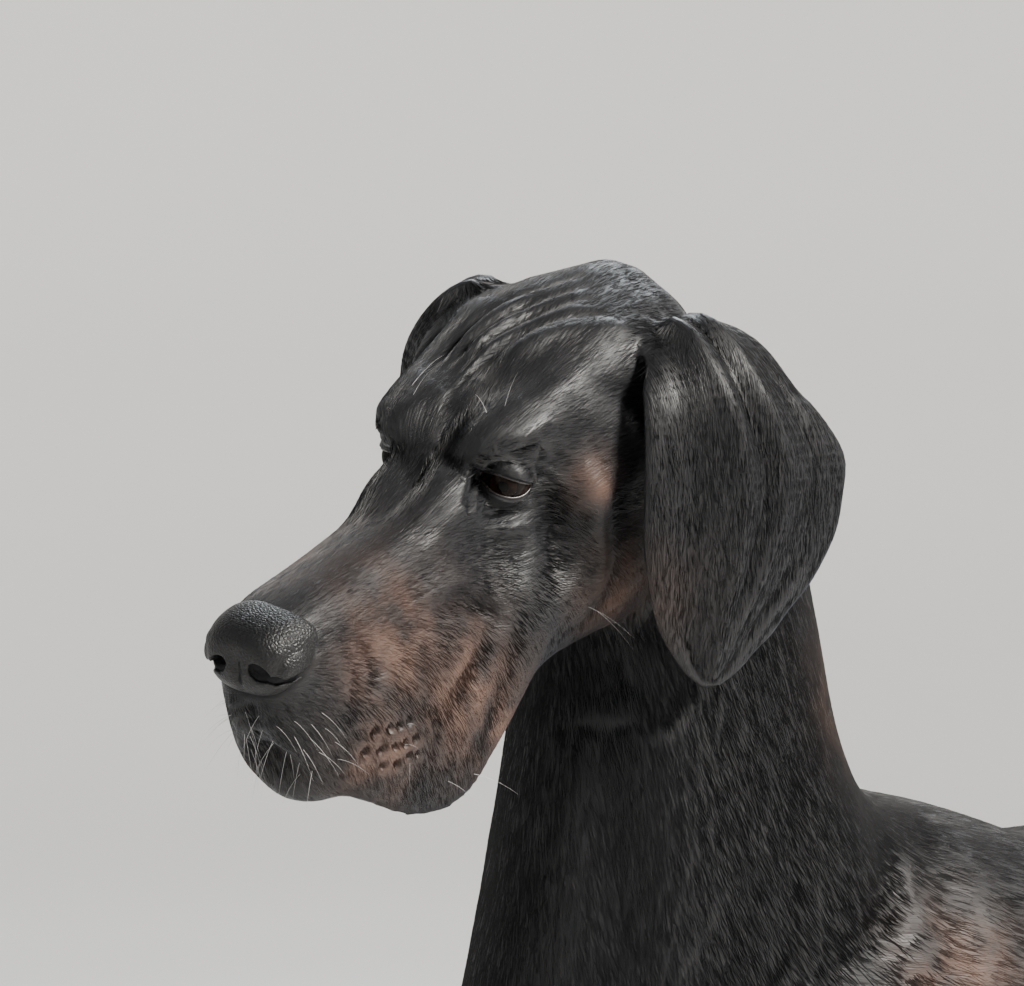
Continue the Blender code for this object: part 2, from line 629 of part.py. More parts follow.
def ear(name, flip, columns=8, steps=2):
    """A leaf with a bellied outer face, a hollow inner face and round edges, hanging from the side of the skull."""
    root = head_point(EAR_ROOT[0], EAR_ROOT[1] * flip, EAR_ROOT[2])
    rows = flow(EAR, steps)
    across = np.linspace(0, 1, columns)
    front, back = rows[:, None, 0:3], rows[:, None, 3:6]
    leaf = front + (back - front) * across[None, :, None]
    rise = np.cross(np.gradient(leaf, axis=0), np.gradient(leaf, axis=1))
    rise /= np.linalg.norm(rise, axis=2, keepdims=True)
    leaf = leaf + rise * (rows[:, 6, None] * np.sin(np.pi * across))[:, :, None]
    thick = EAR_THICKNESS * (0.3 + 0.7 * np.sin(np.pi * across) ** 0.5)[None, :, None] / 2
    rings = []
    for outer, inner in zip(leaf + rise * thick, (leaf - rise * thick)[:, ::-1]):
        ring = np.vstack([outer, inner])
        rings.append([root + GAZE @ Vector((out * flip, back_, -down)) * HEAD_CM for back_, out, down in ring])
    shapes = Shapes()
    shapes.loft(rings)
    return add_object(name, shapes.mesh(name))


def nose(head):
    """The leather of the nose, set in the end of the muzzle, with a round nostril and its side slit on each side."""
    shapes = Shapes()
    jaw_loft(shapes, NOSE, sides=16, steps=2)
    made = add_object("nose", shapes.mesh("nose"))
    boolean(head, grown(made, GAP), "DIFFERENCE")
    for place, radii, turn in NOSTRILS:
        cutter = Shapes()
        head_form(cutter, place, radii, turn, 10)
        boolean(made, add_object("cutter", cutter.mesh("cutter")), "DIFFERENCE")
    return made


def claws(heel, scale, flip, sides=7):
    """Four blunt curved claws as one mesh of closed pieces."""
    shapes = Shapes()
    for across, ahead, size in TOES:
        x, y = (heel[0] + across * 1.05 * scale) * flip, heel[1] - (2.6 + ahead) * scale
        rings = []
        for forward, high, radius in CLAW:
            centre = Vector((x, y - forward * scale, high * scale))
            ring = []
            for i in range(sides):
                angle = 2 * math.pi * i / sides
                spoke = Vector((math.cos(angle), 0, 1.2 * math.sin(angle))) * radius * size
                ring.append((centre + spoke) * CM)
            rings.append(ring)
        shapes.loft(rings)
    return add_object("claws", shapes.mesh("claws"))


def cut_legs(flesh):
    """Both pairs of legs and their paws, with level soles at Z = 0."""
    made = []
    for side, flip in (("left", 1), ("right", -1)):
        for pair, (heel, scale) in PAWS.items():
            leg_name = "foreleg" if pair == "fore" else "hind_leg"
            place, outward, half, depth = LEG_CUTS[leg_name]
            leg = parted(flesh, f"{leg_name}_{side}", (place[0] * flip, *place[1:]), outward, half, depth)
            place, reach = PAW_CUTS[pair]
            ankle, sole = (heel[0] * flip, *place[1:]), (heel[0] * flip, heel[1], 0)
            foot = parted(leg, f"{pair}_paw_{side}", ankle, (0, 0, -1), (reach, reach), 20)
            boolean(foot, claws(heel, scale, flip), "UNION")
            boolean(foot, box(sole, (0, 0, -1), (reach, reach), 10), "DIFFERENCE")
            made += [leg, foot]
    return made


def cut_head(head):
    """Sets the nose and eyes in the head, and hangs the ears on it."""
    made = [nose(head)]
    for side, flip in (("left", 1), ("right", -1)):
        leaf = ear(f"ear_{side}", flip)
        boolean(leaf, grown(head, GAP), "DIFFERENCE")
        made.append(leaf)
    for side, flip in (("left", 1), ("right", -1)):
        boolean(head, eyeball("cutter", flip, EYE_RADIUS * HEAD_CM + GAP), "DIFFERENCE")
        boolean(head, eye_slit(flip), "DIFFERENCE")
        made.append(eyeball(f"eye_{side}", flip, EYE_RADIUS * HEAD_CM))
    return made


def centred(nodes):
    """Moves the model so that its box stands on the origin."""
    every = np.vstack([points_of(node.data) for node in nodes])
    shift = (every.min(0) + every.max(0)) / 2 * (1, 1, 0)
    for node in nodes:
        set_points(node.data, points_of(node.data) - shift)


def main():
    clear_scene()
    flesh = fused("torso", flesh_shapes(), VOXEL)
    points = points_of(flesh.data)
    relax(flesh.data, 1 - 0.75 * face_share(points) - 0.92 * paw_share(points), 90)
    sculpt_head(flesh.data)
    thinned(flesh, face_share, FACE_TRIANGLES)
    thinned(flesh, paw_share, PAW_TRIANGLES)
    thinned(flesh, trunk_share, TRUNK_TRIANGLES)
    nodes = [flesh]
    for name, cut in CUTS.items():
        nodes.append(parted(flesh, name, *cut))
    nodes += cut_legs(flesh)
    head = bpy.data.objects["head"]
    nodes += cut_head(head)
    coat = material("coat", COAT, 0.42)
    leather = material("nose_leather", NOSE_LEATHER, 0.3)
    iris = material("eye", IRIS, 0.06)
    for node in nodes:
        node.data.materials.clear()
        node.data.materials.append(leather if node.name == "nose" else iris if "eye" in node.name else coat)
        node.data.shade_smooth()
        node.data.set_sharp_from_angle(angle=math.radians(50))
    centred(nodes)


if __name__ == "__main__":
    main()
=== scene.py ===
"""A black great dane, life size, standing: its skin, short coat, ears, nose, eyes, claws and whiskers.

Metres, +Z up. The dog faces -Y with its head turned and tilted a little to its left, its left side is at +X,
and it rests on the floor at Z = 0. Places on the head are given in centimetres as along (0 at the nose tip,
negative behind it), side (positive to the left) and up (0 on the bridge of the nose). Places on the body are
given in centimetres as x, y and z.
"""
import math

import bmesh
import bpy
import numpy as np
from mathutils import Matrix, Vector
from mathutils.bvhtree import BVHTree


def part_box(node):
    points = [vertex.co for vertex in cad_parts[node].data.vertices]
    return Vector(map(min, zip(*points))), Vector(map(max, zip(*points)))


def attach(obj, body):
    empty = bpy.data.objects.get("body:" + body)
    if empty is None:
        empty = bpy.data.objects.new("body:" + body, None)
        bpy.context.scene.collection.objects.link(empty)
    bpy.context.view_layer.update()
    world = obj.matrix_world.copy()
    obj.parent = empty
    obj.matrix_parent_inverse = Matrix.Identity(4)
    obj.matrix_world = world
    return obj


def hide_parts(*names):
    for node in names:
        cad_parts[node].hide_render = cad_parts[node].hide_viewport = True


bl_info = {
    "name": "Great Dane",
    "version": (1, 0, 0),
    "blender": (4, 5, 0),
    "location": "View3D > Sidebar > Great Dane",
    "description": "Builds a life-size black great dane around its solids",
    "category": "Object",
}

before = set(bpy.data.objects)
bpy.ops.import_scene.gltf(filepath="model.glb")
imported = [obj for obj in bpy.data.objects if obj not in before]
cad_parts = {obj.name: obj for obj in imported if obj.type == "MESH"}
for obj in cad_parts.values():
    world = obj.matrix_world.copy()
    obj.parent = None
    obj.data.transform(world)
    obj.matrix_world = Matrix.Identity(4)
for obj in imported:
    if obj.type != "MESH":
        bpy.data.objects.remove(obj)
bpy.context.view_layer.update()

CM = 0.01
# The head turns about its joint with the neck: to its left about the upright, then nodding and tilting.
HEAD_JOINT = Vector((0.006, -0.165, 1.09))
GAZE = Matrix.Rotation(math.radians(18), 3, "Z")
HEAD_TURN = GAZE @ Matrix.Rotation(math.radians(16.5), 3, "X") @ Matrix.Rotation(math.radians(8.5), 3, "Y")
NOSE_TO_JOINT = 35.0

# The corners of the left eye's opening on the head, and how deep they lie in the ball, in centimetres.
INNER_CORNER = (-17.7, 2.4, 0.9)
OUTER_CORNER = (-19.1, 4.5, 0.15)
CORNER_DEPTH = 0.36
HALF_OPENING = (Vector(OUTER_CORNER) - Vector(INNER_CORNER)).length / 2
LID_REACH = 2.6

LIMBS = [
    f"{part}_{side}" for part in ("foreleg", "hind_leg", "fore_paw", "hind_paw") for side in ("left", "right")
]
FLESH = ["head", "neck", "torso", "tail", *LIMBS]
# Toes of a paw: how far aside and ahead in centimetres, and the size of the claw. Then where the fore and hind
# paws stand, and their scale.
TOES = ((-3.2, 0.0, 0.92), (-1.2, 1.9, 1.0), (1.2, 1.9, 1.0), (3.2, 0.0, 0.92))
PAWS = (((10.0, -9.0), 1.0), ((9.5, 64.3), 0.92))

# The left ear, from the front of its root: how far back, out and down its front edge lies, then its back edge,
# and how far it bellies.
EAR_ROOT = (-28.0, 5.5, 5.7)
EAR = [
    (1.6, -2.0, 2.2, 5.4, -2.0, 1.6, 0.0),
    (0.6, -0.5, 1.0, 6.4, 1.7, 0.2, 1.0),
    (-1.4, 1.2, 3.4, 8.2, 4.3, 3.1, 1.5),
    (-2.0, 1.7, 7.0, 10.7, 5.9, 7.3, 1.3),
    (-1.9, 1.6, 11.0, 9.6, 5.3, 12.2, 1.0),
    (-0.5, 1.5, 14.8, 6.9, 4.0, 15.6, 0.6),
    (1.3, 1.8, 17.2, 5.0, 3.0, 17.6, 0.2),
    (2.6, 2.2, 18.3, 3.8, 2.6, 18.3, 0.0),
]
# Sections of the nose: along, side and up of the middle, half its width, how far up and down it reaches, and
# how square it is.
NOSE = [
    (0.2, 0, -1.7, 1.2, 0.7, 0.9, 2.4),
    (0.0, 0, -1.8, 1.75, 1.05, 1.5, 2.5),
    (-0.6, 0, -1.9, 2.2, 1.5, 2.0, 2.7),
    (-1.6, 0, -1.9, 2.5, 1.72, 2.1, 2.7),
    (-2.8, 0, -1.8, 2.55, 1.62, 1.8, 2.6),
    (-3.8, 0, -1.7, 2.3, 1.2, 1.3, 2.4),
]

# The bare skin round the nose is an ellipsoid: its middle and radii.
NOSE_MIDDLE = (-1.8, 0, -2.2)
NOSE_RADII = (2.9, 2.9, 2.3)

# Folds of the head: width, height (negative for a furrow), and along, side, up of the points of the left one.
FOLDS = [
    (1.20, -0.46, [(-17.0, 2.2, 2.4), (-19.6, 4.0, 2.6), (-21.8, 5.2, 1.6)]),
    (1.60, -0.36, [(-17.4, 2.8, 3.2), (-19.0, 3.6, 3.8), (-21.0, 4.6, 3.2)]),
    (0.90, -0.46, [(-16.2, 2.4, 2.5), (-17.0, 3.4, 2.7), (-18.4, 4.5, 2.3), (-20.2, 5.0, 1.4)]),
    (0.80, 0.52, [(-16.6, 2.2, 1.4), (-17.8, 3.1, 1.5), (-19.2, 4.3, 1.2), (-20.6, 5.2, 0.5)]),
    (1.35, 0.98, [(-13.4, 1.5, 0.5), (-14.8, 2.0, 0.8), (-16.2, 2.3, 1.5), (-17.4, 2.3, 2.6)]),
    (0.26, -0.20, [(-17.0, 2.4, 1.5), (-18.2, 3.4, 1.6), (-19.6, 4.8, 0.9), (-20.4, 5.3, 0.0)]),
    (0.34, -0.24, [(-16.8, 2.6, -0.6), (-18.0, 3.7, -1.1), (-19.8, 4.9, -1.3)]),
    (0.34, 0.18, [(-16.4, 2.8, -1.2), (-17.8, 3.8, -1.7), (-19.8, 4.9, -1.9)]),
    (1.25, -1.00, [(-20.2, 4.6, 0.0), (-20.6, 4.9, -1.6), (-21.0, 4.9, -3.8), (-19.6, 5.2, -5.8)]),
    (0.90, 0.52, [(-22.3, 5.6, 0.4), (-23.2, 5.8, -2.6), (-23.2, 5.7, -5.5), (-21.8, 5.6, -7.6)]),
    (0.65, -0.58, [(-12.2, 3.4, -3.6), (-14.0, 3.8, -3.9), (-15.4, 4.1, -4.9), (-16.0, 4.3, -6.0)]),
    (0.70, 0.26, [(-11.0, 3.6, -2.5), (-13.6, 4.0, -3.0), (-16.0, 4.4, -3.4)]),
    (0.80, -0.26, [(-15.6, 4.6, -6.4), (-13.2, 4.4, -7.6), (-10.8, 4.4, -8.8)]),
    (0.90, 0.16, [(-16.6, 4.8, -8.0), (-14.2, 4.6, -9.4), (-11.8, 4.6, -10.6)]),
    (0.36, -0.24, [(-9.0, 4.2, -7.2), (-9.9, 4.6, -8.6), (-9.7, 4.5, -10.2)]),
    (0.60, -0.20, [(-5.6, 3.2, -2.0), (-6.4, 3.6, -4.0), (-5.8, 3.6, -6.0)]),
    (1.20, 0.40, [(-26.0, 4.2, 5.7), (-28.2, 5.4, 5.5), (-30.4, 6.2, 4.6)]),
    (0.90, -0.40, [(-25.0, 5.2, 3.6), (-26.6, 6.0, 2.4), (-27.0, 6.4, 0.6)]),
]
# Folds of the forehead, where the skin is drawn over the crown to the left ear.
CROWN_FOLDS = [
    (0.36, -0.38, [
        (-19.6, -2.4, 3.9), (-22.6, -3.0, 5.0), (-25.4, -3.0, 5.5), (-28.9, -2.2, 5.9), (-32.0, -0.3, 6.2),
    ]),
    (0.60, 0.20, [(-20.4, -2.4, 4.3), (-23.2, -2.6, 5.2), (-26.4, -2.2, 5.7), (-30.4, -0.8, 6.2)]),
    (0.36, -0.43, [
        (-20.8, -2.0, 4.4), (-23.0, -2.1, 5.3), (-25.0, -1.8, 5.6), (-27.6, -1.1, 5.9), (-31.0, 0.6, 6.2),
    ]),
    (0.55, 0.20, [(-21.4, -1.6, 4.6), (-24.0, -1.5, 5.5), (-27.0, -0.6, 5.9), (-30.0, 1.0, 6.1)]),
    (0.34, -0.41, [(-20.4, -1.2, 4.3), (-23.2, -1.2, 5.3), (-26.5, -0.4, 5.8), (-29.8, 1.6, 6.0)]),
    (0.55, 0.20, [(-20.2, -0.8, 4.0), (-23.0, -0.7, 5.0), (-25.6, 0.2, 5.6), (-28.6, 2.0, 5.9)]),
    (0.34, -0.38, [
        (-19.4, -0.6, 3.6), (-21.4, -0.6, 4.4), (-24.0, 0.0, 5.2), (-26.6, 1.2, 5.8), (-28.6, 3.0, 5.6),
    ]),
    (0.70, 0.29, [(-20.0, 0.2, 4.0), (-23.0, 0.8, 5.0), (-26.0, 2.4, 5.6), (-28.8, 4.4, 5.2)]),
    (1.30, 0.62, [
        (-20.4, -0.6, 4.0), (-18.6, -0.5, 2.8), (-17.5, 0.1, 1.4), (-16.4, 0.8, 0.6), (-15.0, 0.8, 0.2),
    ]),
]
# Forms of the neck and body: width, height, and x, y, z in centimetres of the points of the left one.
BODY_FOLDS = [
    (1.5, -0.55, [(5.5, -22.5, 92.0), (6.5, -22.0, 87.0), (7.5, -22.0, 82.0), (7.0, -21.0, 76.0)]),
    (2.2, 0.45, [(6.5, -17.5, 91.0), (8.5, -17.5, 84.0), (9.5, -19.0, 78.0), (8.0, -21.5, 72.0)]),
    (1.0, -0.22, [(8.0, -12.0, 92.0), (8.8, -11.0, 86.0), (9.5, -11.5, 80.0), (10.0, -13.0, 74.0)]),
    (1.0, -0.22, [(7.5, -3.5, 85.0), (9.0, -5.0, 81.0), (10.5, -6.5, 76.0), (11.0, -8.0, 71.0)]),
    (1.0, 0.18, [(7.5, -1.8, 84.6), (9.2, -3.0, 80.0), (10.8, -4.4, 75.5), (11.6, -5.6, 70.5)]),
    (1.0, -0.24, [(6.8, 0.4, 83.6), (9.2, -0.6, 80.0), (11.2, -1.6, 75.5), (12.2, -2.6, 70.0)]),
    (1.1, 0.16, [(6.8, 2.4, 82.6), (9.6, 1.8, 79.0), (11.8, 1.2, 74.5), (12.6, 0.6, 69.0)]),
    (1.1, -0.20, [(7.0, 4.6, 81.6), (10.0, 4.6, 78.5), (12.4, 4.4, 74.0), (13.2, 4.0, 68.0)]),
    (1.2, -0.30, [(11.5, -10.0, 66.0), (12.0, -7.0, 60.0), (12.2, -3.0, 55.0)]),
    (1.2, -0.25, [(12.0, 5.5, 60.0), (12.0, 5.0, 54.0), (11.5, 4.0, 50.0)]),
    (1.4, -0.35, [(10.5, 38.5, 60.0), (11.5, 41.0, 54.0), (11.5, 44.0, 50.0)]),
    (1.6, -0.35, [(11.5, 51.0, 66.0), (12.0, 52.5, 58.0), (11.5, 53.0, 50.0), (11.0, 56.0, 44.0)]),
    (0.8, -0.22, [(10.6, 63.0, 35.0), (10.4, 66.0, 30.0), (10.2, 67.0, 26.0)]),
    (0.7, 0.14, [(12.0, -4.6, 38.0), (11.6, -5.4, 32.0), (11.2, -6.0, 26.0)]),
] + [
    (0.9, -0.12, [(10.5, y, 76.0), (14.0, y + 1.5, 68.0), (13.5, y + 4.0, 60.0), (10.0, y + 6.0, 53.0)])
    for y in (12.0, 15.5, 19.0, 22.5, 26.0)
]
# Sun-worn rust and painted warm sheen of sunlit fur, on the left: along, side, up and how far they reach, and
# the same on the body in x, y, z.
HEAD_RUST_AND_SHEEN = [
    (-8.0, 4.0, -4.0, 3.6),
    (-12.5, 4.6, -8.0, 3.4),
    (-6.0, 3.6, -8.5, 2.6),
    (-22.4, 6.0, -0.4, 1.3),
    (-24.5, 6.4, -7.0, 2.6),
    (-15.0, 4.6, -11.0, 2.4),
]
BODY_RUST_AND_SHEEN = [(7.5, -4.5, 92.0, 3.0), (11.5, -1.0, 76.0, 3.6), (12.5, 3.0, 71.0, 4.0)]
BLACK = (0.0065, 0.0065, 0.0072)
# The rust colour, which also paints the warm sheen of sunlit fur on its patches.
RUST_AND_SHEEN = (0.074, 0.043, 0.032)

# Rows of whisker pits on the flews, in centimetres: how far up, and where each row begins and ends along the
# muzzle. They are set from beside the head on to the skin. The sizes of a dimple are in metres.
PIT_ROWS = ((-7.0, -4.7, -8.2), (-8.3, -3.7, -8.7), (-9.6, -4.7, -7.9))
PIT_GAP = 1.02
PIT_SIDE = 7.0
PIT_DEPTH = 0.0022
PIT_RADIUS = 0.0019
PIT_BARE_RADIUS = 0.0014

# Metres: the grain of the fused skin, how far the solids are grown before it is laid on them, and the height
# of the soles.
SKIN_GRAIN = 0.0037
SKIN_GROWTH = 0.0004
SOLE_HEIGHT = 0.0004

# What the skin leaves for the coat and the whiskers: its mesh and tree, and what holds at each of its points.
GROUND = {}

COLOUR = {"size": 3, "subtype": "COLOR", "min": 0, "max": 1}
SHARE = {"max": 1, "subtype": "FACTOR"}
POWER = {"min": 0, "subtype": "POWER"}


class DaneSkin(bpy.types.PropertyGroup):
    """Sizes and colours of the skin and the coat"""

    coat_depth: bpy.props.FloatProperty(
        name="Coat Depth", description="How far the skin lies inside the outline",
        default=0.0012, min=0, unit="LENGTH",
    )
    body_triangles: bpy.props.IntProperty(
        name="Body Triangles", description="Triangles of the skin behind the head", default=34000, min=20000
    )
    coat_share: bpy.props.FloatProperty(
        name="Coat", description="Share of the full number of tufts", default=1.0, min=0.01, **SHARE
    )
    gloss: bpy.props.FloatProperty(
        name="Roughness", description="Roughness of the coat", default=0.43, min=0.1, **SHARE
    )
    black: bpy.props.FloatVectorProperty(
        name="Black", description="Colour of the coat", default=BLACK, **COLOUR
    )
    # The rust colour also paints a warm sheen where sunlight falls on the coat.
    rust: bpy.props.FloatVectorProperty(
        name="Rust", description="Colour of the sun-worn coat", default=RUST_AND_SHEEN, **COLOUR
    )


class DaneFace(bpy.types.PropertyGroup):
    """Colours of the nose and the whiskers"""

    nose: bpy.props.FloatVectorProperty(
        name="Nose", description="Colour of the nose", default=(0.004, 0.004, 0.0045), **COLOUR
    )
    whisker: bpy.props.FloatVectorProperty(
        name="Whiskers", description="Colour of the whiskers", default=(0.5, 0.5, 0.5), **COLOUR
    )
    whisker_radius: bpy.props.FloatProperty(
        name="Whisker Radius", description="Radius at the root", default=0.00011, min=0.0001, unit="LENGTH"
    )


class DaneStage(bpy.types.PropertyGroup):
    """The floor's colour and the power of the lights"""

    floor_colour: bpy.props.FloatVectorProperty(
        name="Floor", description="Colour of floor and backdrop", default=(0.78, 0.78, 0.78), **COLOUR
    )
    key_power: bpy.props.FloatProperty(
        name="Key Light", description="Power of the warm light at its left", default=480.0, **POWER
    )
    fill_power: bpy.props.FloatProperty(
        name="Fill Light", description="Power of the cool light in front", default=8.0, **POWER
    )
    rim_power: bpy.props.FloatProperty(
        name="Rim Light", description="Power of the light behind it", default=85.0, **POWER
    )


def settings():
    return bpy.context.scene.dane_skin


def head_point(along, side, up):
    """Where a place on the head lies in the scene."""
    place = Vector((side, -(along + NOSE_TO_JOINT), up)) * CM
    return HEAD_JOINT + HEAD_TURN @ place - SHIFT


def head_coordinates(points):
    """Along, side and up in centimetres, for an array of points."""
    local = (points + np.array(SHIFT) - np.array(HEAD_JOINT)) @ np.array(HEAD_TURN) / CM
    return np.stack([-local[:, 1] - NOSE_TO_JOINT, local[:, 0], local[:, 2]], 1)


def body_coordinates(points):
    """The x, y and z in centimetres that the tables of the body use, for an array of points."""
    return (points + np.array(SHIFT)) / CM


def eye_frame(flip):
    """The middle of the ball, and the axes of the opening: along it, up and the way the eye faces."""
    inner = head_point(INNER_CORNER[0], INNER_CORNER[1] * flip, INNER_CORNER[2])
    outer = head_point(OUTER_CORNER[0], OUTER_CORNER[1] * flip, OUTER_CORNER[2])
    along = (outer - inner).normalized()
    facing = (HEAD_TURN @ Vector((0, 0, 1))).cross(along).normalized() * -flip
    across = facing.cross(along).normalized()
    return (inner + outer) / 2 - facing * (EYE_RADIUS - CORNER_DEPTH) * CM, along, across, facing


# In centimetres, the radius of the eye, a little larger than its solid's. The tables above stand a little off
# the frame, by the shift in metres that brings the left eye to its solid.
EYE_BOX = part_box("eye_left")
EYE_RADIUS = (EYE_BOX[1] - EYE_BOX[0]).y / 2 / CM + 0.04
SHIFT = Vector((0, 0, 0))
SHIFT = eye_frame(1)[0] - (EYE_BOX[0] + EYE_BOX[1]) / 2


def new_object(name, data):
    made = bpy.data.objects.new(name, data)
    bpy.context.scene.collection.objects.link(made)
    return made


def mesh_from(name, points, faces):
    mesh = bpy.data.meshes.new(name)
    mesh.from_pydata([tuple(p) for p in points], [], [tuple(int(i) for i in f) for f in faces])
    return mesh


def applied(obj):
    """Replaces the object's mesh by the one its modifiers make."""
    graph = bpy.context.evaluated_depsgraph_get()
    made = bpy.data.meshes.new_from_object(obj.evaluated_get(graph))
    obj.modifiers.clear()
    obj.data = made


def vectors_of(items, name):
    """One vector of each item of a mesh, as rows of an array."""
    flat = np.empty(len(items) * 3, np.float32)
    items.foreach_get(name, flat)
    return flat.reshape(-1, 3).astype(float)


def points_of(mesh):
    return vectors_of(mesh.vertices, "co")


def normals_of(mesh):
    return vectors_of(mesh.vertices, "normal")


def corners_of(mesh):
    """The point of each corner of the faces in a row, and how many sides each face has."""
    corners = np.empty(len(mesh.loops), np.int32)
    mesh.loops.foreach_get("vertex_index", corners)
    sides = np.empty(len(mesh.polygons), np.int32)
    mesh.polygons.foreach_get("loop_total", sides)
    return corners, sides


def set_points(mesh, points):
    mesh.vertices.foreach_set("co", points.astype(np.float32).ravel())
    mesh.update()


def displaced(mesh, moved):
    """Moves every point along its normal, by its own distance."""
    set_points(mesh, points_of(mesh) + normals_of(mesh) * moved[:, None])


def smooth_step(value, low, high):
    t = np.clip((value - low) / (high - low), 0, 1)
    return t * t * (3 - 2 * t)


def flow(rows, steps):
    """A Catmull-Rom curve through the rows of a table, with that many steps between rows."""
    rows = np.asarray(rows, float)
    padded = np.vstack([2 * rows[0] - rows[1], rows, 2 * rows[-1] - rows[-2]])
    out = []
    for a, b, c, d in zip(padded, padded[1:], padded[2:], padded[3:]):
        for t in np.arange(steps) / steps:
            bend, twist = 2 * a - 5 * b + 4 * c - d, 3 * b - 3 * c + d - a
            out.append((2 * b + (c - a) * t + bend * t**2 + twist * t**3) / 2)
    out.append(rows[-1])
    return np.array(out)


def neighbour_mean(mesh):
    """A function that gives, from a vector at each point, the mean of the vectors at its neighbours."""
    edges = np.empty(len(mesh.edges) * 2, np.int32)
    mesh.edges.foreach_get("vertices", edges)
    a, b = edges.reshape(-1, 2).T
    count = len(mesh.vertices)
    degree = np.maximum(np.bincount(a, minlength=count) + np.bincount(b, minlength=count), 1)[:, None]

    def mean(vectors):
        total = [np.bincount(a, v[b], count) + np.bincount(b, v[a], count) for v in vectors.T]
        return np.stack(total, 1) / degree

    return mean


def relaxed(mesh, weight, rounds, give=0.5, take=-0.53):
    """Evens the surface: each round pulls the points to their neighbours, and pushes them back."""
    points, mean = points_of(mesh), neighbour_mean(mesh)
    for _ in range(rounds):
        for pull in (give, take):
            points = points + (mean(points) - points) * (pull * weight)[:, None]
    set_points(mesh, points)


def full_turn(steps):
    """Evenly spaced angles all the way round."""
    return np.linspace(0, 2 * math.pi, steps + 1)[:-1]


def bands(rings, count, closed=False):
    """Faces between rings of that many points each, and from the last ring to the first where they close."""
    faces = []
    for row in range(rings if closed else rings - 1):
        low, high = row * count, (row + 1) % rings * count
        faces += [(low + i, low + (i + 1) % count, high + (i + 1) % count, high + i) for i in range(count)]
    return faces


def loft(rings):
    """Points and faces of a closed loft through rings with the same count."""
    count = len(rings[0])
    points = [tuple(p) for ring in rings for p in ring]
    faces = bands(len(rings), count)
    faces.append(tuple(range(count))[::-1])
    faces.append(tuple(range(len(points) - count, len(points))))
    return points, faces


def facing_out(mesh):
    builder = bmesh.new()
    builder.from_mesh(mesh)
    bmesh.ops.recalc_face_normals(builder, faces=builder.faces)
    builder.to_mesh(mesh)
    builder.free()
    return mesh


def combined(obj, other, operation):
    """Unites the object with another, or cuts the other out of it, and removes the other."""
    join = obj.modifiers.new("Join", "BOOLEAN")
    join.operation, join.solver, join.object = operation, "MANIFOLD", other
    applied(obj)
    bpy.data.objects.remove(other)


def remeshed(obj, grain):
    """Fuses what overlaps into one closed surface of small square faces."""
    remesh = obj.modifiers.new("Fuse", "REMESH")
    remesh.mode, remesh.voxel_size = "VOXEL", grain
    applied(obj)


def solid_triangles(names, grow):
    """The points and triangles of several CAD nodes, merged and grown a little, and each triangle's node."""
    points, faces, owner = [], [], []
    for index, name in enumerate(names):
        builder = bmesh.new()
        builder.from_mesh(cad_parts[name].data)
        bmesh.ops.remove_doubles(builder, verts=builder.verts, dist=0.00001)
        bmesh.ops.triangulate(builder, faces=builder.faces)
        builder.normal_update()
        start = len(points)
        builder.verts.index_update()
        points += [tuple(v.co + v.normal * grow) for v in builder.verts]
        for face in builder.faces:
            faces.append(tuple(start + v.index for v in face.verts))
            owner.append(index)
        builder.free()
    return points, faces, np.array(owner)


def thinned(obj, chosen, triangles):
    """Brings the faces whose points are chosen down to so many triangles, and leaves the rest alone."""
    corners, sides = corners_of(obj.data)
    inner = np.logical_and.reduceat(chosen[corners], np.cumsum(sides) - sides)
    total, inside = (sides - 2).sum(), (sides - 2)[inner].sum()
    group = obj.vertex_groups.new(name="thin")
    group.add(np.flatnonzero(chosen).tolist(), 1.0, "REPLACE")
    decimate = obj.modifiers.new("Thin", "DECIMATE")
    decimate.ratio = (total - inside + triangles) / total
    decimate.vertex_group = group.name
    applied(obj)
    obj.vertex_groups.clear()


def subdivided(obj, inside):
    """Halves every edge whose two ends are inside."""
    mesh = obj.data
    chosen = inside(points_of(mesh))
    builder = bmesh.new()
    builder.from_mesh(mesh)
    edges = [e for e in builder.edges if chosen[e.verts[0].index] and chosen[e.verts[1].index]]
    bmesh.ops.subdivide_edges(builder, edges=edges, cuts=1, use_grid_fill=True)
    builder.to_mesh(mesh)
    builder.free()


def in_head(points):
    """Which points belong to the head and the ears, rather than the neck."""
    along, _, up = head_coordinates(points).T
    return (along > -38) & (up > -16) & (points[:, 2] > 0.85) & (along + up > -43)


def in_face(points):
    """Which points belong to the head in front of the ears, where the skin is finest."""
    along, side, up = head_coordinates(points).T
    return (along > -28.5) & (up > -15.5) & (np.abs(side) < 6.6) & in_head(points)


def near_eye(points):
    """Which points lie round the lids of either eye."""
    out = np.zeros(len(points), bool)
    for flip in (1, -1):
        middle, _, _, facing = eye_frame(flip)
        out |= np.linalg.norm(points - np.array(middle + facing * CM), axis=1) < LID_REACH * CM
    return out


def near_pits(points):
    """Which points lie round the rows of whisker pits."""
    along, side, up = head_coordinates(points).T
    rows = (along > -10.5) & (along < -2.6) & (up > -11) & (up < -5.6)
    return rows & (np.abs(side) > 2.4) & in_face(points)


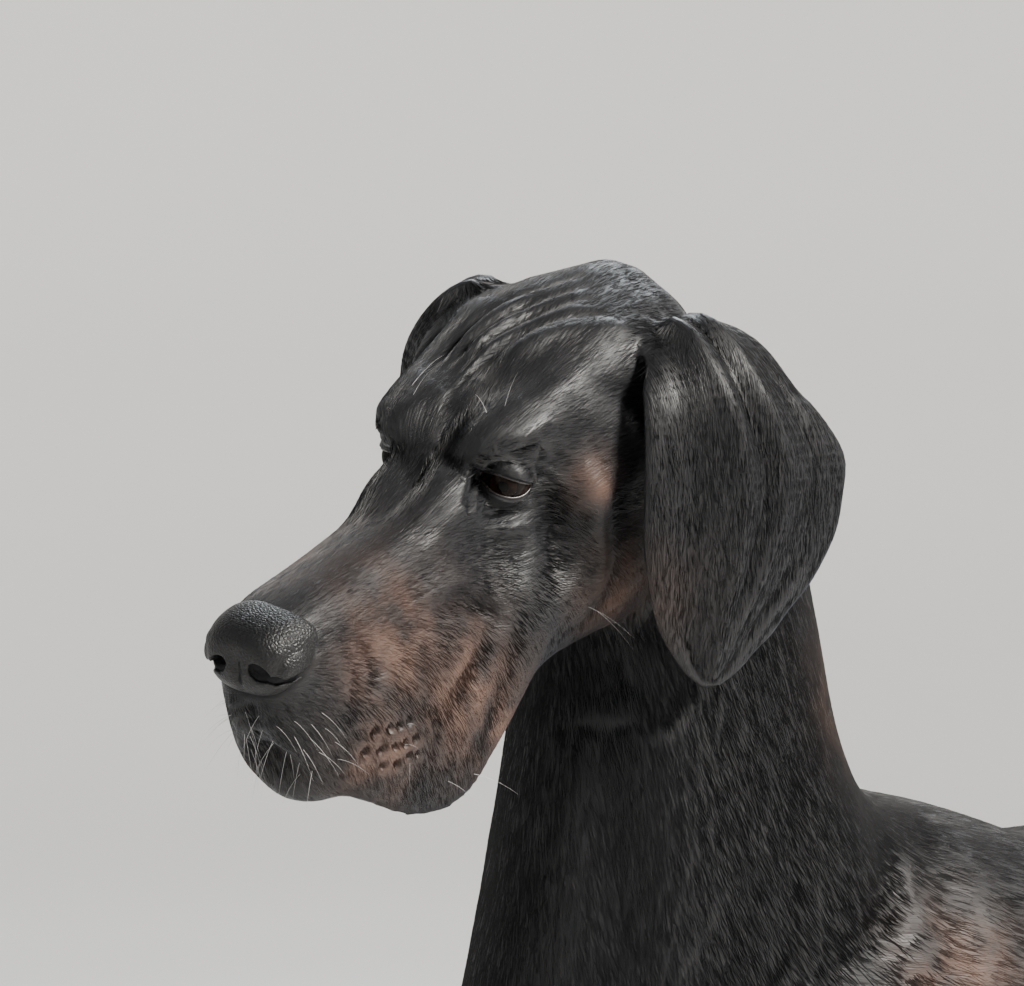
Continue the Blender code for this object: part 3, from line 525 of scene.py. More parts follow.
def stroke(places, width, height, path, flips):
    """How far each place moves along its normal, under a fold and its mirror laid on the nearest points."""
    moved = np.zeros(len(places))
    for flip in flips:
        line = flow([(p[0] * flip[0], p[1] * flip[1], p[2]) for p in path], 12)
        nearest = np.array([places[np.argmin(((places - p) ** 2).sum(1))] for p in line])
        for _ in range(8):
            nearest[1:-1] = (nearest[:-2] + 2 * nearest[1:-1] + nearest[2:]) / 4
        fine = np.linspace(0, len(nearest) - 1, 4 * len(nearest))
        nearest = np.stack([np.interp(fine, np.arange(len(nearest)), nearest[:, k]) for k in range(3)], 1)
        share = np.sin(np.pi * np.linspace(0.06, 0.94, len(nearest)))
        within = np.ptp(line, axis=0).sum() + 3 * width
        close = np.flatnonzero(((places - nearest.mean(0)) ** 2).sum(1) < within**2)
        away = ((places[close, None, :] - nearest[None]) ** 2).sum(2)
        moved[close] = np.maximum(moved[close], (np.exp(-away / width**2) * share).max(1))
    return moved * height * CM


def fold_skin(mesh):
    """Lays the folds on the head, then on the body."""
    points, normals = points_of(mesh), normals_of(mesh)
    for of_head, coordinates, tables in (
        (True, head_coordinates, ((FOLDS, ((1, 1), (1, -1))), (CROWN_FOLDS, ((1, 1),)))),
        (False, body_coordinates, ((BODY_FOLDS, ((1, 1), (-1, 1))),)),
    ):
        mine = np.flatnonzero(in_head(points) == of_head)
        for folds, flips in tables:
            for width, height, path in folds:
                moved = stroke(coordinates(points[mine]), width, height, path, flips)
                points[mine] += normals[mine] * moved[:, None]
    set_points(mesh, points)


def pit_roots(tree):
    """The places and normals of the whisker pits of both sides, on the skin."""
    roots = []
    for flip in (1, -1):
        for up, first, last in PIT_ROWS:
            for along in np.arange(first, last, -PIT_GAP):
                spot, normal, _, _ = tree.find_nearest(head_point(along, PIT_SIDE * flip, up))
                roots.append((np.array(spot), np.array(normal)))
    return roots


def tree_of(mesh):
    return BVHTree.FromPolygons([v.co for v in mesh.vertices], [p.vertices for p in mesh.polygons])


def sink_pits(mesh):
    """A dimple round each whisker's root."""
    points, normals = points_of(mesh), normals_of(mesh)
    GROUND["pits"] = pit_roots(tree_of(mesh))
    for spot, _ in GROUND["pits"]:
        away = ((points - spot) ** 2).sum(1)
        points -= normals * (PIT_DEPTH * np.exp(-away / PIT_RADIUS**2))[:, None]
    set_points(mesh, points)


def lid_edges(x):
    """Heights of the upper and lower lid at x along the opening, in centimetres."""
    t = np.clip(x / HALF_OPENING, -1, 1)
    arch = np.sqrt(np.maximum(1 - t**2, 0))
    return 0.50 * arch * (1 - 0.25 * t), -0.52 * arch * (1 + 0.2 * t)


def ball_height(x, y):
    """How far the eyeball stands over its middle, at a place along and across the opening, in centimetres."""
    return np.sqrt(EYE_RADIUS**2 - np.minimum(np.hypot(x, y), EYE_RADIUS * 0.98) ** 2)


def eye_coordinates(points, flip):
    """Along, across and out of the eye's opening, and how far outside its edges, in centimetres."""
    middle, *axes = (np.array(v) for v in eye_frame(flip))
    local = (points - middle) / CM
    x, y, z = (local @ axis for axis in axes)
    upper, lower = lid_edges(x)
    return x, y, z, np.maximum.reduce([y - upper, lower - y, (np.abs(x) - HALF_OPENING) * 1.2])


def open_lids(mesh):
    """Draws the skin round the eyes on to the balls, with a rounded rim and the opening between the lids."""
    points = points_of(mesh)
    for flip in (1, -1):
        x, y, z, outside = eye_coordinates(points, flip)
        near = np.flatnonzero((z > 0.1) & (np.hypot(x, y) < 3.2) & (z < 3.2))
        ball, high, outside = ball_height(x[near], y[near]), z[near], outside[near]
        lid = ball + 0.05 + 0.20 * smooth_step(outside, -0.02, 0.22) + 0.42 * smooth_step(outside, 0.2, 1.1)
        target = np.where(outside < 0, ball - 0.22 * smooth_step(-outside, 0.0, 0.07), lid)
        wanted = high + (target - high) * (1 - smooth_step(outside, 0.25, 1.1))
        points[near] += ((wanted - high) * CM)[:, None] * np.array(eye_frame(flip)[3])
    set_points(mesh, points)


def hump(value, middle, width):
    """A smooth hump of height 1 round a middle."""
    return np.exp(-(((value - middle) / width) ** 2))


def ear_ripples(across, down):
    """How far the ear's face stands out or in, across it from its front edge and down it from its root."""
    fade = np.sin(np.pi * np.clip(down * 1.05, 0, 1)) ** 0.6 * np.sin(np.pi * across) ** 0.5
    ridge = 0.34 * hump(across, 0.33 + 0.16 * down, 0.065)
    hollow = -0.30 * hump(across, 0.17 + 0.05 * down, 0.07) * smooth_step(down, 0.1, 0.5)
    furrow = -0.20 * hump(across, 0.46 + 0.10 * down, 0.05) * (1 - smooth_step(down, 0.5, 0.9))
    far = 0.24 * hump(across, 0.66 - 0.12 * down, 0.06) - 0.2 * hump(across, 0.82 - 0.06 * down, 0.06)
    small = 0.05 * np.sin(across * 31 + down * 9) * np.sin(down * 12 + across * 7)
    return 1.35 * (ridge + hollow + furrow + far + small) * fade


def ear_root(flip):
    return head_point(EAR_ROOT[0], EAR_ROOT[1] * flip, EAR_ROOT[2])


def unit_rows(vectors):
    """The vectors brought to length 1, along the last axis."""
    return vectors / np.maximum(np.linalg.norm(vectors, axis=-1, keepdims=True), 1e-9)


def ear_mesh(flip, columns=36, steps=8):
    """A thin leaf with a rippled outer face, a hollow inner face and soft edges, hanging beside the skull."""
    rows = flow(EAR, steps)
    across = np.linspace(0, 1, columns)
    down = np.linspace(0, 1, len(rows))[:, None]
    front, back = rows[:, None, 0:3], rows[:, None, 3:6]
    leaf = front + (back - front) * across[None, :, None]
    rise = unit_rows(np.cross(np.gradient(leaf, axis=0), np.gradient(leaf, axis=1)))
    belly = rows[:, 6, None] * np.sin(np.pi * across)
    leaf = leaf + rise * (belly + ear_ripples(across, down))[:, :, None]
    ragged = 0.07 * np.sin(down * 37) + 0.05 * np.sin(down * 61 + 1) - 0.22 * hump(down, 0.30, 0.012)
    ragged = ragged * smooth_step(across, 0.75, 1.0) * np.sin(np.pi * down)
    leaf = leaf + unit_rows(leaf[:, -1:] - leaf[:, :1]) * ragged[:, :, None]
    half_thick = 0.18 * (0.34 + 0.66 * np.sin(np.pi * across) ** 0.5)[None, :, None]
    root, rings = ear_root(flip), []
    for outer, inner in zip(leaf + rise * half_thick, (leaf - rise * half_thick)[:, ::-1]):
        ring = np.vstack([outer, inner])
        rings.append([root + GAZE @ Vector((out * flip, behind, -drop)) * CM for behind, out, drop in ring])
    return facing_out(mesh_from("ear", *loft(rings)))


def join_ears(skin):
    """Unites both ears with the skin, and softens the seam at their roots."""
    before = tree_of(skin.data)
    trees = []
    for flip in (1, -1):
        ear = new_object("ear", ear_mesh(flip))
        trees.append(tree_of(ear.data))
        combined(skin, ear, "UNION")
    points = points_of(skin.data)
    along = head_coordinates(points)[:, 0]
    weight = np.zeros(len(points))
    for i in np.flatnonzero((along > -50) & (along < -20) & (points[:, 2] > 0.84)):
        spot = Vector(points[i])
        apart = max(before.find_nearest(spot)[3], min(tree.find_nearest(spot)[3] for tree in trees))
        weight[i] = 1 - smooth_step(apart, 0.004, 0.013)
    relaxed(skin.data, weight, 26, 0.6, 0.0)


def crown_share(points):
    """1 on the crown, where the solid's own creases give way to the folds."""
    along, _, up = head_coordinates(points).T
    return smooth_step(up, 1.6, 3.4) * smooth_step(-along, 15.5, 17.5) * (1 - smooth_step(-along, 30.0, 33.0))


def build_skin():
    """The skin without the ears: the solids fused and evened out, with the folds, lids and whisker pits."""
    points, faces, _ = solid_triangles(FLESH + ["nose", "eye_left", "eye_right"], SKIN_GROWTH)
    solids = BVHTree.FromPolygons(points, faces)
    skin = new_object("skin", mesh_from("skin", points, faces))
    remeshed(skin, SKIN_GRAIN)
    thinned(skin, ~in_head(points_of(skin.data)), settings().body_triangles)
    for inside in (in_face, near_eye, near_pits):
        subdivided(skin, inside)
    spots = np.array([solids.find_nearest(Vector(p))[0] for p in points_of(skin.data)])
    set_points(skin.data, spots)
    head = in_head(spots)
    relaxed(skin.data, np.where(head, 0.0, 1.0), 24)
    relaxed(skin.data, np.where(head, 1.0, 0.0), 16)
    relaxed(skin.data, np.where(head, crown_share(points_of(skin.data)), 0.0), 70, 0.7, -0.5)
    displaced(skin.data, np.full(len(spots), -(settings().coat_depth + SKIN_GROWTH)))
    fold_skin(skin.data)
    spots = points_of(skin.data)
    spots[:, 2] = np.maximum(spots[:, 2], SOLE_HEIGHT)
    set_points(skin.data, spots)
    open_lids(skin.data)
    sink_pits(skin.data)
    return skin


def turned_around(points, centre, axis, back, radius):
    """How far along an axis and how far round it each point lies, in metres, measured from the back."""
    axis, back = np.array(axis, float), np.array(back, float)
    back = back - axis * (back @ axis)
    back /= np.linalg.norm(back)
    side = np.cross(back, axis)
    away = points - centre
    return away @ axis, np.arctan2(away @ side, away @ back) * radius


def unwrap(points, region):
    """For points of one region of the skin: along the lie of the hair, round it, and the length of a round."""
    if region.startswith("ear"):
        flip = 1 if region.endswith("left") else -1
        local = (points - np.array(ear_root(flip))) @ np.array(GAZE)
        return -local[:, 2], local[:, 1] + 0.4 * local[:, 0] * flip, math.inf
    if region in AXES:
        radius = TAIL_RADIUS if region == "tail" else LEG_RADIUS
        away = points[:, :2] - np.stack([np.polyval(axis, points[:, 2]) for axis in AXES[region]], 1)
        return -points[:, 2], np.arctan2(away[:, 0], -away[:, 1]) * radius, 2 * math.pi * radius
    if region == "neck":
        top, low = np.array(NECK_LINE)
        axis, back, centre, radius = unit_rows(low - top), (0, 1, 0), top - np.array(SHIFT), NECK_RADIUS
    elif region == "torso":
        axis, back, centre, radius = (0, 1, 0), (0, 0, 1), (0, 0, TORSO_HEIGHT), TORSO_RADIUS
    else:
        axis, back = HEAD_TURN @ Vector((0, 1, 0)), HEAD_TURN @ Vector((0, 0, 1))
        centre, radius = head_point(-20, 0, -4), HEAD_RADIUS
    return *turned_around(points, centre, axis, back, radius), 2 * math.pi * radius


def limb_axis(name):
    """Where the middle of a leg, paw or tail lies at each height, as two polynomials."""
    spots = points_of(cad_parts[name].data)
    degree = 2 if "leg" in name or name == "tail" else 0
    return np.polyfit(spots[:, 2], spots[:, 0], min(degree, 1)), np.polyfit(spots[:, 2], spots[:, 1], degree)


# The regions of the skin, in the order of their squares in the bake map, which is so many squares wide. Then,
# in metres, the radii of the parts round which the map of the hair is wound, the ends of the neck's middle
# line and the height of the torso's. Last, how the torso's hair slants as it runs back, and the width of skin
# in metres that a square of the bake map has for both faces of an ear.
REGIONS = FLESH + ["ear_left", "ear_right", "nose", "eye_left", "eye_right"]
HEAD_REGIONS = ("head", "nose", "eye_left", "eye_right")
AXES = {name: limb_axis(name) for name in ("tail", *LIMBS)}
SQUARES = 5
HEAD_RADIUS, NECK_RADIUS, TORSO_RADIUS, LEG_RADIUS, TAIL_RADIUS = 0.065, 0.085, 0.14, 0.035, 0.02
NECK_LINE = ((0.0, -0.15, 1.04), (0.0, -0.05, 0.74))
TORSO_HEIGHT = 0.68
TORSO_SKEW = 0.30
EAR_SPREAD = 0.4


def lay_maps(mesh, owners):
    """Two UV maps: Lie, in metres along and round the coat, and OFBake, the same laid out in one square."""
    corners, sides = corners_of(mesh)
    starts = np.cumsum(sides) - sides
    face_of = np.repeat(np.arange(len(sides)), sides)
    region_of = owners[corners[starts]][face_of]
    points = points_of(mesh)
    leftward = vectors_of(mesh.polygons, "normal") @ np.array(GAZE)[:, 0]
    lie, local, atlas = (np.zeros((len(corners), 2)) for _ in range(3))
    for index, region in enumerate(REGIONS):
        mine = np.flatnonzero(region_of == index)
        if not len(mine):
            continue
        along, round_it, whole = unwrap(points[corners[mine]], region)
        if region.startswith("ear"):
            outer = leftward[face_of[mine]] * (1 if region.endswith("left") else -1) > 0
            across = np.where(outer, 0.26, 0.76) + round_it / EAR_SPREAD
            skew = 0.0
        else:
            first = round_it[np.searchsorted(mine, starts[face_of[mine]])]
            round_it = round_it + whole * np.round((first - round_it) / whole)
            across = round_it / whole + 0.5
            skew = TORSO_SKEW * along * np.sign(first) if region == "torso" else 0.0
        lie[mine] = np.stack([along, round_it - skew], 1)
        tall = (along - along.min()) / max(np.ptp(along), 1e-6)
        local[mine] = 0.03 + 0.94 * np.stack([np.clip(across, 0, 1), tall], 1)
        atlas[mine] = (np.array([index % SQUARES, index // SQUARES]) + local[mine]) / SQUARES
    for name, values in (("Lie", lie), ("OFBake", atlas)):
        layer = mesh.uv_layers.new(name=name)
        layer.data.foreach_set("uv", values.astype(np.float32).ravel())
    return local


def rust_and_sheen_share(points):
    """How sun-worn the coat is, with the painted warm sheen of sunlit fur, from 0 to 1, the same on both
    sides.
    """
    share = np.zeros(len(points))
    for place, sideways, patches in (
        (head_coordinates(points), 1, HEAD_RUST_AND_SHEEN),
        (body_coordinates(points), 0, BODY_RUST_AND_SHEEN),
    ):
        place[:, sideways] = np.abs(place[:, sideways])
        for *spot, reach in patches:
            share = np.maximum(share, np.exp(-((place - spot) ** 2).sum(1) / reach**2))
    return share


def bare_share(points):
    """1 where the skin has no hair: whisker pits, lid rims, round the nose and under the paws."""
    share = 1 - smooth_step(points[:, 2], 0.002, 0.006)
    for spot, _ in GROUND["pits"]:
        share = np.maximum(share, np.exp(-((points - spot) ** 2).sum(1) / PIT_BARE_RADIUS**2))
    for flip in (1, -1):
        _, _, out, outside = eye_coordinates(points, flip)
        share = np.maximum(share, (1 - smooth_step(outside, 0.04, 0.20)) * (out > 0) * (out < 3))
    from_nose = np.linalg.norm((head_coordinates(points) - NOSE_MIDDLE) / NOSE_RADII, axis=1)
    return np.maximum(share, 1 - smooth_step(from_nose, 0.84, 0.98))


def raw_direction(region, points):
    """Which way the hair lies on one region, before it is evened out."""
    if region in HEAD_REGIONS:
        low = smooth_step(-head_coordinates(points)[:, 2], 0, 9)[:, None]
        return np.array(HEAD_TURN @ Vector((0, 1, 0))) * (1 - 0.45 * low) + (0, 0, -1) * (0.12 + 0.75 * low)
    if region == "neck":
        return 0, 0.34, -1
    if region == "torso":
        front = 1 - smooth_step(points[:, 1], -0.36, -0.16)[:, None]
        return np.array([0, 1, -0.36]) * (1 - front) + np.array([0, 0.1, -1]) * front
    return (0, 0.2, -1) if region == "tail" else (0, 0.12, -1)


def lie_directions(mesh, owners):
    """Which way the hair lies at every point, evened out over the borders of the regions."""
    points, normals, mean = points_of(mesh), normals_of(mesh), neighbour_mean(mesh)
    way = np.zeros((len(points), 3))
    for index, region in enumerate(REGIONS):
        way[owners == index] = raw_direction(region, points[owners == index])
    for _ in range(40):
        way = 0.4 * way + 0.6 * mean(way)
    return unit_rows(way - normals * (way * normals).sum(1, keepdims=True))


def add_attribute(mesh, name, values):
    """Stores one number at each point of a mesh."""
    layer = mesh.attributes.new(name, "FLOAT", "POINT")
    layer.data.foreach_set("value", np.asarray(values, np.float32))


class DANE_OT_skin(bpy.types.Operator):
    """Build the dog's skin as one surface with the folds of the head, the lids and the ears"""

    bl_idname = "dane.skin"
    bl_label = "Skin"

    def execute(self, context):
        skin = build_skin()
        join_ears(skin)
        builder = bmesh.new()
        builder.from_mesh(skin.data)
        bmesh.ops.triangulate(builder, faces=builder.faces)
        builder.to_mesh(skin.data)
        builder.free()
        skin.data.materials.clear()
        skin.data.materials.append(coat_material())
        skin.data.shade_smooth()
        points, faces, node_of = solid_triangles(REGIONS, 0.0)
        tree = BVHTree.FromPolygons(points, faces)
        spots = points_of(skin.data)
        owners = np.array([node_of[tree.find_nearest(Vector(p))[2]] for p in spots])
        GROUND["chart"] = lay_maps(skin.data, owners)
        # The rust attribute holds worn rust together with the painted warm sheen of sunlit fur.
        GROUND["rust"], GROUND["bare"] = rust_and_sheen_share(spots), bare_share(spots)
        add_attribute(skin.data, "rust", GROUND["rust"])
        add_attribute(skin.data, "bare", GROUND["bare"])
        GROUND["mesh"], GROUND["tree"], GROUND["owners"] = skin.data, tree_of(skin.data), owners
        GROUND["way"] = lie_directions(skin.data, owners)
        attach(skin, "root")
        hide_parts(*FLESH, "ear_left", "ear_right")
        return {"FINISHED"}


def material(name, colour, roughness, **sockets):
    made = bpy.data.materials.new(name)
    made.use_nodes = True
    shader = made.node_tree.nodes["Principled BSDF"]
    shader.inputs["Base Color"].default_value = (*colour, 1)
    shader.inputs["Roughness"].default_value = roughness
    for key, value in sockets.items():
        shader.inputs[key.replace("_", " ")].default_value = value
    return made


def node(tree, kind, links=(), inputs=(), **options):
    """A node with its options set, and its sockets filled with values or linked to other nodes' outputs."""
    made = tree.nodes.new(kind)
    for key, value in options.items():
        setattr(made, key, value)
    for socket, value in inputs:
        made.inputs[socket].default_value = value
    for socket, source in links:
        tree.links.new(source, made.inputs[socket])
    return made


def result(tree, kind, links=(), inputs=(), **options):
    """The first output of a new node."""
    return node(tree, kind, links, inputs, **options).outputs[0]


def calculated(tree, operation, *terms, clamp=False):
    """The result of a Math node whose terms are sockets or numbers."""
    links = [(i, term) for i, term in enumerate(terms) if isinstance(term, bpy.types.NodeSocket)]
    inputs = [(i, term) for i, term in enumerate(terms) if not isinstance(term, bpy.types.NodeSocket)]
    return result(tree, "ShaderNodeMath", links, inputs, operation=operation, use_clamp=clamp)


def noise(tree, place, scale, detail):
    return result(tree, "ShaderNodeTexNoise", [("Vector", place)], [("Scale", scale), ("Detail", detail)])


def stretched_noise(tree, place, scale, detail=2.0):
    """Noise whose grain has its own scale along each axis of a place or map."""
    spread = result(tree, "ShaderNodeMapping", [("Vector", place)], [("Scale", scale)])
    return noise(tree, spread, 1.0, detail)


def ranged(tree, value, source, target):
    """A value carried from one range to another and kept inside it."""
    ends = [("From Min", source[0]), ("From Max", source[1]), ("To Min", target[0]), ("To Max", target[1])]
    return result(tree, "ShaderNodeMapRange", [("Value", value)], ends)


def mixed(tree, factor, low, high):
    """A colour between two, by a factor."""
    mix = node(tree, "ShaderNodeMix", [("Factor", factor)], data_type="RGBA")
    mix.inputs["A"].default_value, mix.inputs["B"].default_value = (*low, 1), (*high, 1)
    return mix.outputs["Result"]


def stored(tree, name):
    """A number stored at the points of the mesh."""
    return node(tree, "ShaderNodeAttribute", attribute_name=name).outputs["Fac"]


def fill_shader(tree, height, depth, strength, **sources):
    """Links the shader's sockets to their sources and its normal to a bump, and gives the bump."""
    shader = tree.nodes["Principled BSDF"]
    sizes = [("Strength", strength), ("Distance", depth)]
    raised = result(tree, "ShaderNodeBump", [("Height", height)], sizes)
    for socket, source in {**sources, "Normal": raised}.items():
        tree.links.new(source, shader.inputs[socket.replace("_", " ")])
    return raised


def coat_material():
    """Black with worn, rusty patches that also paint the warm sheen of sunlit fur, over fine streaks that
    follow the lie of the hair.
    """
    made = bpy.data.materials.get("coat_black")
    if made:
        return made
    gloss = settings().gloss
    made = material(
        "coat_black", settings().black, gloss,
        Sheen_Weight=0.02, Sheen_Roughness=0.45, Sheen_Tint=(0.62, 0.72, 1.0, 1), Specular_IOR_Level=0.24,
    )
    tree = made.node_tree
    lie = result(tree, "ShaderNodeUVMap", uv_map="Lie")
    hairs = stretched_noise(tree, lie, (140, 1300, 1))
    locks = stretched_noise(tree, lie, (34, 210, 1))
    waves = stretched_noise(tree, lie, (9, 42, 1), 1.0)
    place = node(tree, "ShaderNodeTexCoord").outputs["Object"]
    blotches, grain = noise(tree, place, 48.0, 4.0), noise(tree, place, 900.0, 2.0)
    bare, rust, shade = stored(tree, "bare"), stored(tree, "rust"), stored(tree, "shade")
    patchy = ranged(tree, blotches, (0.36, 0.62), (0.25, 1.0))
    # Rust patches, which also paint the warm sheen of sunlit fur.
    worn_and_sheen = calculated(tree, "MULTIPLY", rust, patchy, clamp=True)
    colour = mixed(tree, worn_and_sheen, settings().black, settings().rust)
    lift = calculated(tree, "ADD", shade, 1.0)
    tone = result(tree, "ShaderNodeVectorMath", [(0, colour), ("Scale", lift)], operation="SCALE")
    dull = calculated(tree, "ADD", locks, bare)
    furry = calculated(tree, "SUBTRACT", 1.0, bare, clamp=True)
    high = calculated(tree, "MULTIPLY_ADD", locks, 1.6, hairs)
    high = calculated(tree, "MULTIPLY_ADD", waves, 2.2, high)
    high = calculated(tree, "MULTIPLY", high, furry)
    high = calculated(tree, "MULTIPLY_ADD", grain, bare, high)
    rough = ranged(tree, dull, (0.3, 1.2), (gloss - 0.06, 0.95))
    fill_shader(tree, high, 0.0005, 0.7, Base_Color=tone, Roughness=rough)
    return made


def speckled(made, scale, dark, pale, rough, depth):
    """Gives a material a colour and a roughness that vary with noise, and a bump of the same grain."""
    tree = made.node_tree
    place = node(tree, "ShaderNodeTexCoord").outputs["Object"]
    grain = stretched_noise(tree, place, scale, 4.0)
    colour, roughness = mixed(tree, grain, dark, pale), ranged(tree, grain, (0.3, 0.7), rough)
    fill_shader(tree, grain, depth, 0.5, Base_Color=colour, Roughness=roughness)
    return made


def mesh_of_faces(name, points, corners, sides):
    """A mesh from arrays: the points, the points of the faces in a row, and how many sides each face has."""
    mesh = bpy.data.meshes.new(name)
    mesh.vertices.add(len(points))
    mesh.vertices.foreach_set("co", points.astype(np.float32).ravel())
    mesh.loops.add(len(corners))
    mesh.loops.foreach_set("vertex_index", corners.astype(np.int32))
    mesh.polygons.add(len(sides))
    mesh.polygons.foreach_set("loop_start", (np.cumsum(sides) - sides).astype(np.int32))
    mesh.polygons.foreach_set("loop_total", sides.astype(np.int32))
    mesh.update(calc_edges=True)
    return mesh


# Coat pieces: name, regions, tufts on each side, and in metres the shortest and longest tuft, width and lift.
COATS = [
    ("coat_head", HEAD_REGIONS, 47000, 0.0045, 0.0085, 0.00030, 0.00026),
    ("coat_ear", ("ear_left", "ear_right"), 26000, 0.0050, 0.0085, 0.00030, 0.00026),
    ("coat_neck", ("neck",), 46000, 0.0080, 0.0130, 0.00038, 0.00034),
    ("coat_torso", ("torso",), 47000, 0.0120, 0.0180, 0.00070, 0.00050),
    ("coat_legs", LIMBS, 24000, 0.0065, 0.0110, 0.00055, 0.00040),
    ("coat_tail", ("tail",), 4000, 0.0100, 0.0180, 0.00070, 0.00050),
]
# How deep a tuft is rooted in metres, how high its ridge stands against half its width, how far the hair
# strays from its lie, and half the width of the patch that a tuft takes in the bake map.
TUFT_ROOT = 0.00035
TUFT_RIDGE = 0.45
TUFT_STRAY = 0.13
TUFT_PATCH = 0.0015
# The points of a tuft are left, right, ridge and tip.
TUFT_FACES = np.array([(0, 2, 1), (0, 1, 3), (0, 3, 2), (2, 3, 1)])


def tuft_roots(name, regions, side, count, rng):
    """For each tuft of one piece: its triangle of the skin, the three points and their shares in its root."""
    mesh = GROUND["mesh"]
    corners, points = corners_of(mesh)[0].reshape(-1, 3), points_of(mesh)
    a, b, c = (points[corners[:, k]] for k in range(3))
    area = np.linalg.norm(np.cross(b - a, c - a), axis=1) / 2
    middle = points[corners].mean(1)
    chosen = np.isin(GROUND["owners"][corners[:, 0]], [REGIONS.index(region) for region in regions])
    left = head_coordinates(middle)[:, 1] if name.startswith(("coat_head", "coat_ear")) else middle[:, 0]
    chosen &= left * side >= 0
    weight = area * chosen * np.clip(1 - 1.6 * GROUND["bare"][corners].mean(1), 0, 1)
    picks = rng.choice(len(area), count, p=weight / weight.sum())
    first, second = np.sqrt(rng.random(count)), rng.random(count)
    return picks, corners[picks], np.stack([1 - first, first * (1 - second), first * second], 1)[:, :, None]


def lay_tufts(name, regions, side, count, sizes, rng):
    """One piece of coat: closed spikes of four triangles, rooted in the skin, whose tips come down on it."""
    short, long, width, lift = sizes
    picks, three, share = tuft_roots(name, regions, side, count, rng)
    root = (points_of(GROUND["mesh"])[three] * share).sum(1)
    normal = (normals_of(GROUND["mesh"])[three] * share).sum(1)
    normal /= np.linalg.norm(normal, axis=1, keepdims=True)
    lie = (GROUND["way"][three] * share).sum(1) + rng.normal(0, TUFT_STRAY, (count, 3))
    lie = unit_rows(lie - normal * (lie * normal).sum(1, keepdims=True))
    across = np.cross(normal, lie)
    tip = root + lie * rng.uniform(short, long, count)[:, None]
    raised = lift * rng.uniform(0.5, 1.3, count)
    for i, spot in enumerate(tip):
        found, facing, _, _ = GROUND["tree"].find_nearest(spot)
        tip[i] = found + facing * raised[i]
    broad = width * rng.uniform(0.75, 1.3, count)[:, None] / 2
    sunk = root - normal * TUFT_ROOT
    ridge = root + normal * broad * TUFT_RIDGE - lie * broad
    spikes = np.stack([sunk - across * broad, sunk + across * broad, ridge, tip], 1)
    faces = 4 * np.arange(count)[:, None, None] + TUFT_FACES[None]
    mesh = mesh_of_faces(name, spikes.reshape(-1, 3), faces.ravel(), np.full(4 * count, 3))
    patch = TUFT_PATCH * np.array([(-1, -1), (1, -1), (0, 0), (0, 1)])
    spot = (GROUND["chart"].reshape(-1, 3, 2)[picks] * share).sum(1)
    chart = (spot[:, None, :] + patch)[:, TUFT_FACES.ravel()]
    mesh.uv_layers.new(name="OFBake").data.foreach_set("uv", chart.astype(np.float32).ravel())
    # Each tuft takes the rust and painted warm sheen of the skin under its root.
    add_attribute(mesh, "rust", np.repeat((GROUND["rust"][three] * share[:, :, 0]).sum(1), 4))
    add_attribute(mesh, "shade", np.repeat(rng.uniform(-0.3, 0.55, count), 4))
    return mesh


class DANE_OT_coat(bpy.types.Operator):
    """Lay the short coat over the skin, as solid tufts along the lie of the hair"""

    bl_idname = "dane.coat"
    bl_label = "Coat"

    def execute(self, context):
        rng = np.random.default_rng(7)
        for name, regions, count, *sizes in COATS:
            for side, word in ((1, "left"), (-1, "right")):
                piece = f"{name}_{word}"
                count_here = int(count * settings().coat_share)
                coat = new_object(piece, lay_tufts(piece, regions, side, count_here, sizes, rng))
                coat.data.materials.append(coat_material())
                coat.data.shade_flat()
                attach(coat, "root")
        return {"FINISHED"}


# Balls that swell the wings of the nose and cut its nostrils: along, side and up of the left one, its radii in
# the same order, and its turn about x, y and z in degrees. Then the seam, as a fold, and the grain in metres.
NOSE_WINGS = [
    ((-1.9, 1.85, -2.3), (1.6, 0.80, 1.10), (0, 12, 8)),
    ((-0.9, 1.45, -1.5), (0.9, 0.85, 0.70), (0, 0, 0)),
]
NOSTRILS = [
    ((0.0, 1.15, -2.3), (1.5, 0.58, 0.42), (0, 36, 22)),
    ((-0.6, 1.85, -2.75), (1.5, 0.60, 0.24), (0, 24, 14)),
    ((-1.5, 2.55, -2.75), (1.3, 0.90, 0.16), (0, -8, 8)),
]
NOSE_SEAM = (0.2, -0.22, [(0.6, 0.0, -1.6), (0.4, 0.0, -2.4), (0.0, 0.0, -3.8)])
NOSE_GRAIN = 0.0008


def turned(turn, flip):
    """The matrix of three turns in degrees, mirrored for the right side."""
    x, y, z = (math.radians(a) for a in turn)
    return Matrix.Rotation(z * flip, 3, "Z") @ Matrix.Rotation(y * flip, 3, "Y") @ Matrix.Rotation(x, 3, "X")


def head_ball(place, radii, turn, flip, sides=28):
    """An ellipsoid set and turned on the head."""
    centre = head_point(place[0], place[1] * flip, place[2])
    facing = HEAD_TURN @ turned(turn, flip)
    rings = []
    for i in range(1, sides // 2):
        tilt = math.pi * i / (sides // 2)
        ring = []
        for j in range(sides):
            spin = 2 * math.pi * j / sides
            x, y, z = math.sin(tilt) * math.cos(spin), math.sin(tilt) * math.sin(spin), math.cos(tilt)
            ring.append(centre + facing @ Vector((x * radii[1] * CM, y * radii[0] * CM, z * radii[2] * CM)))
        rings.append(ring)
    return facing_out(mesh_from("ball", *loft(rings)))


def nose_ring(along, side, up, half, above, below, power, sides=56):
    """A section of the nose, from round at a power of 2 to squarer at a higher one."""
    ring = []
    for i in range(sides):
        c, s = math.cos(2 * math.pi * i / sides), math.sin(2 * math.pi * i / sides)
        across = half * math.copysign(abs(c) ** (2 / power), c)
        high = (above if s > 0 else below) * math.copysign(abs(s) ** (2 / power), s)
        ring.append(head_point(along, side + across, up + high))
    return ring


def nose_mesh():
    """The closed block of the nose, before its wings and nostrils."""
    return facing_out(mesh_from("nose", *loft([nose_ring(*row) for row in flow(NOSE, 8)])))


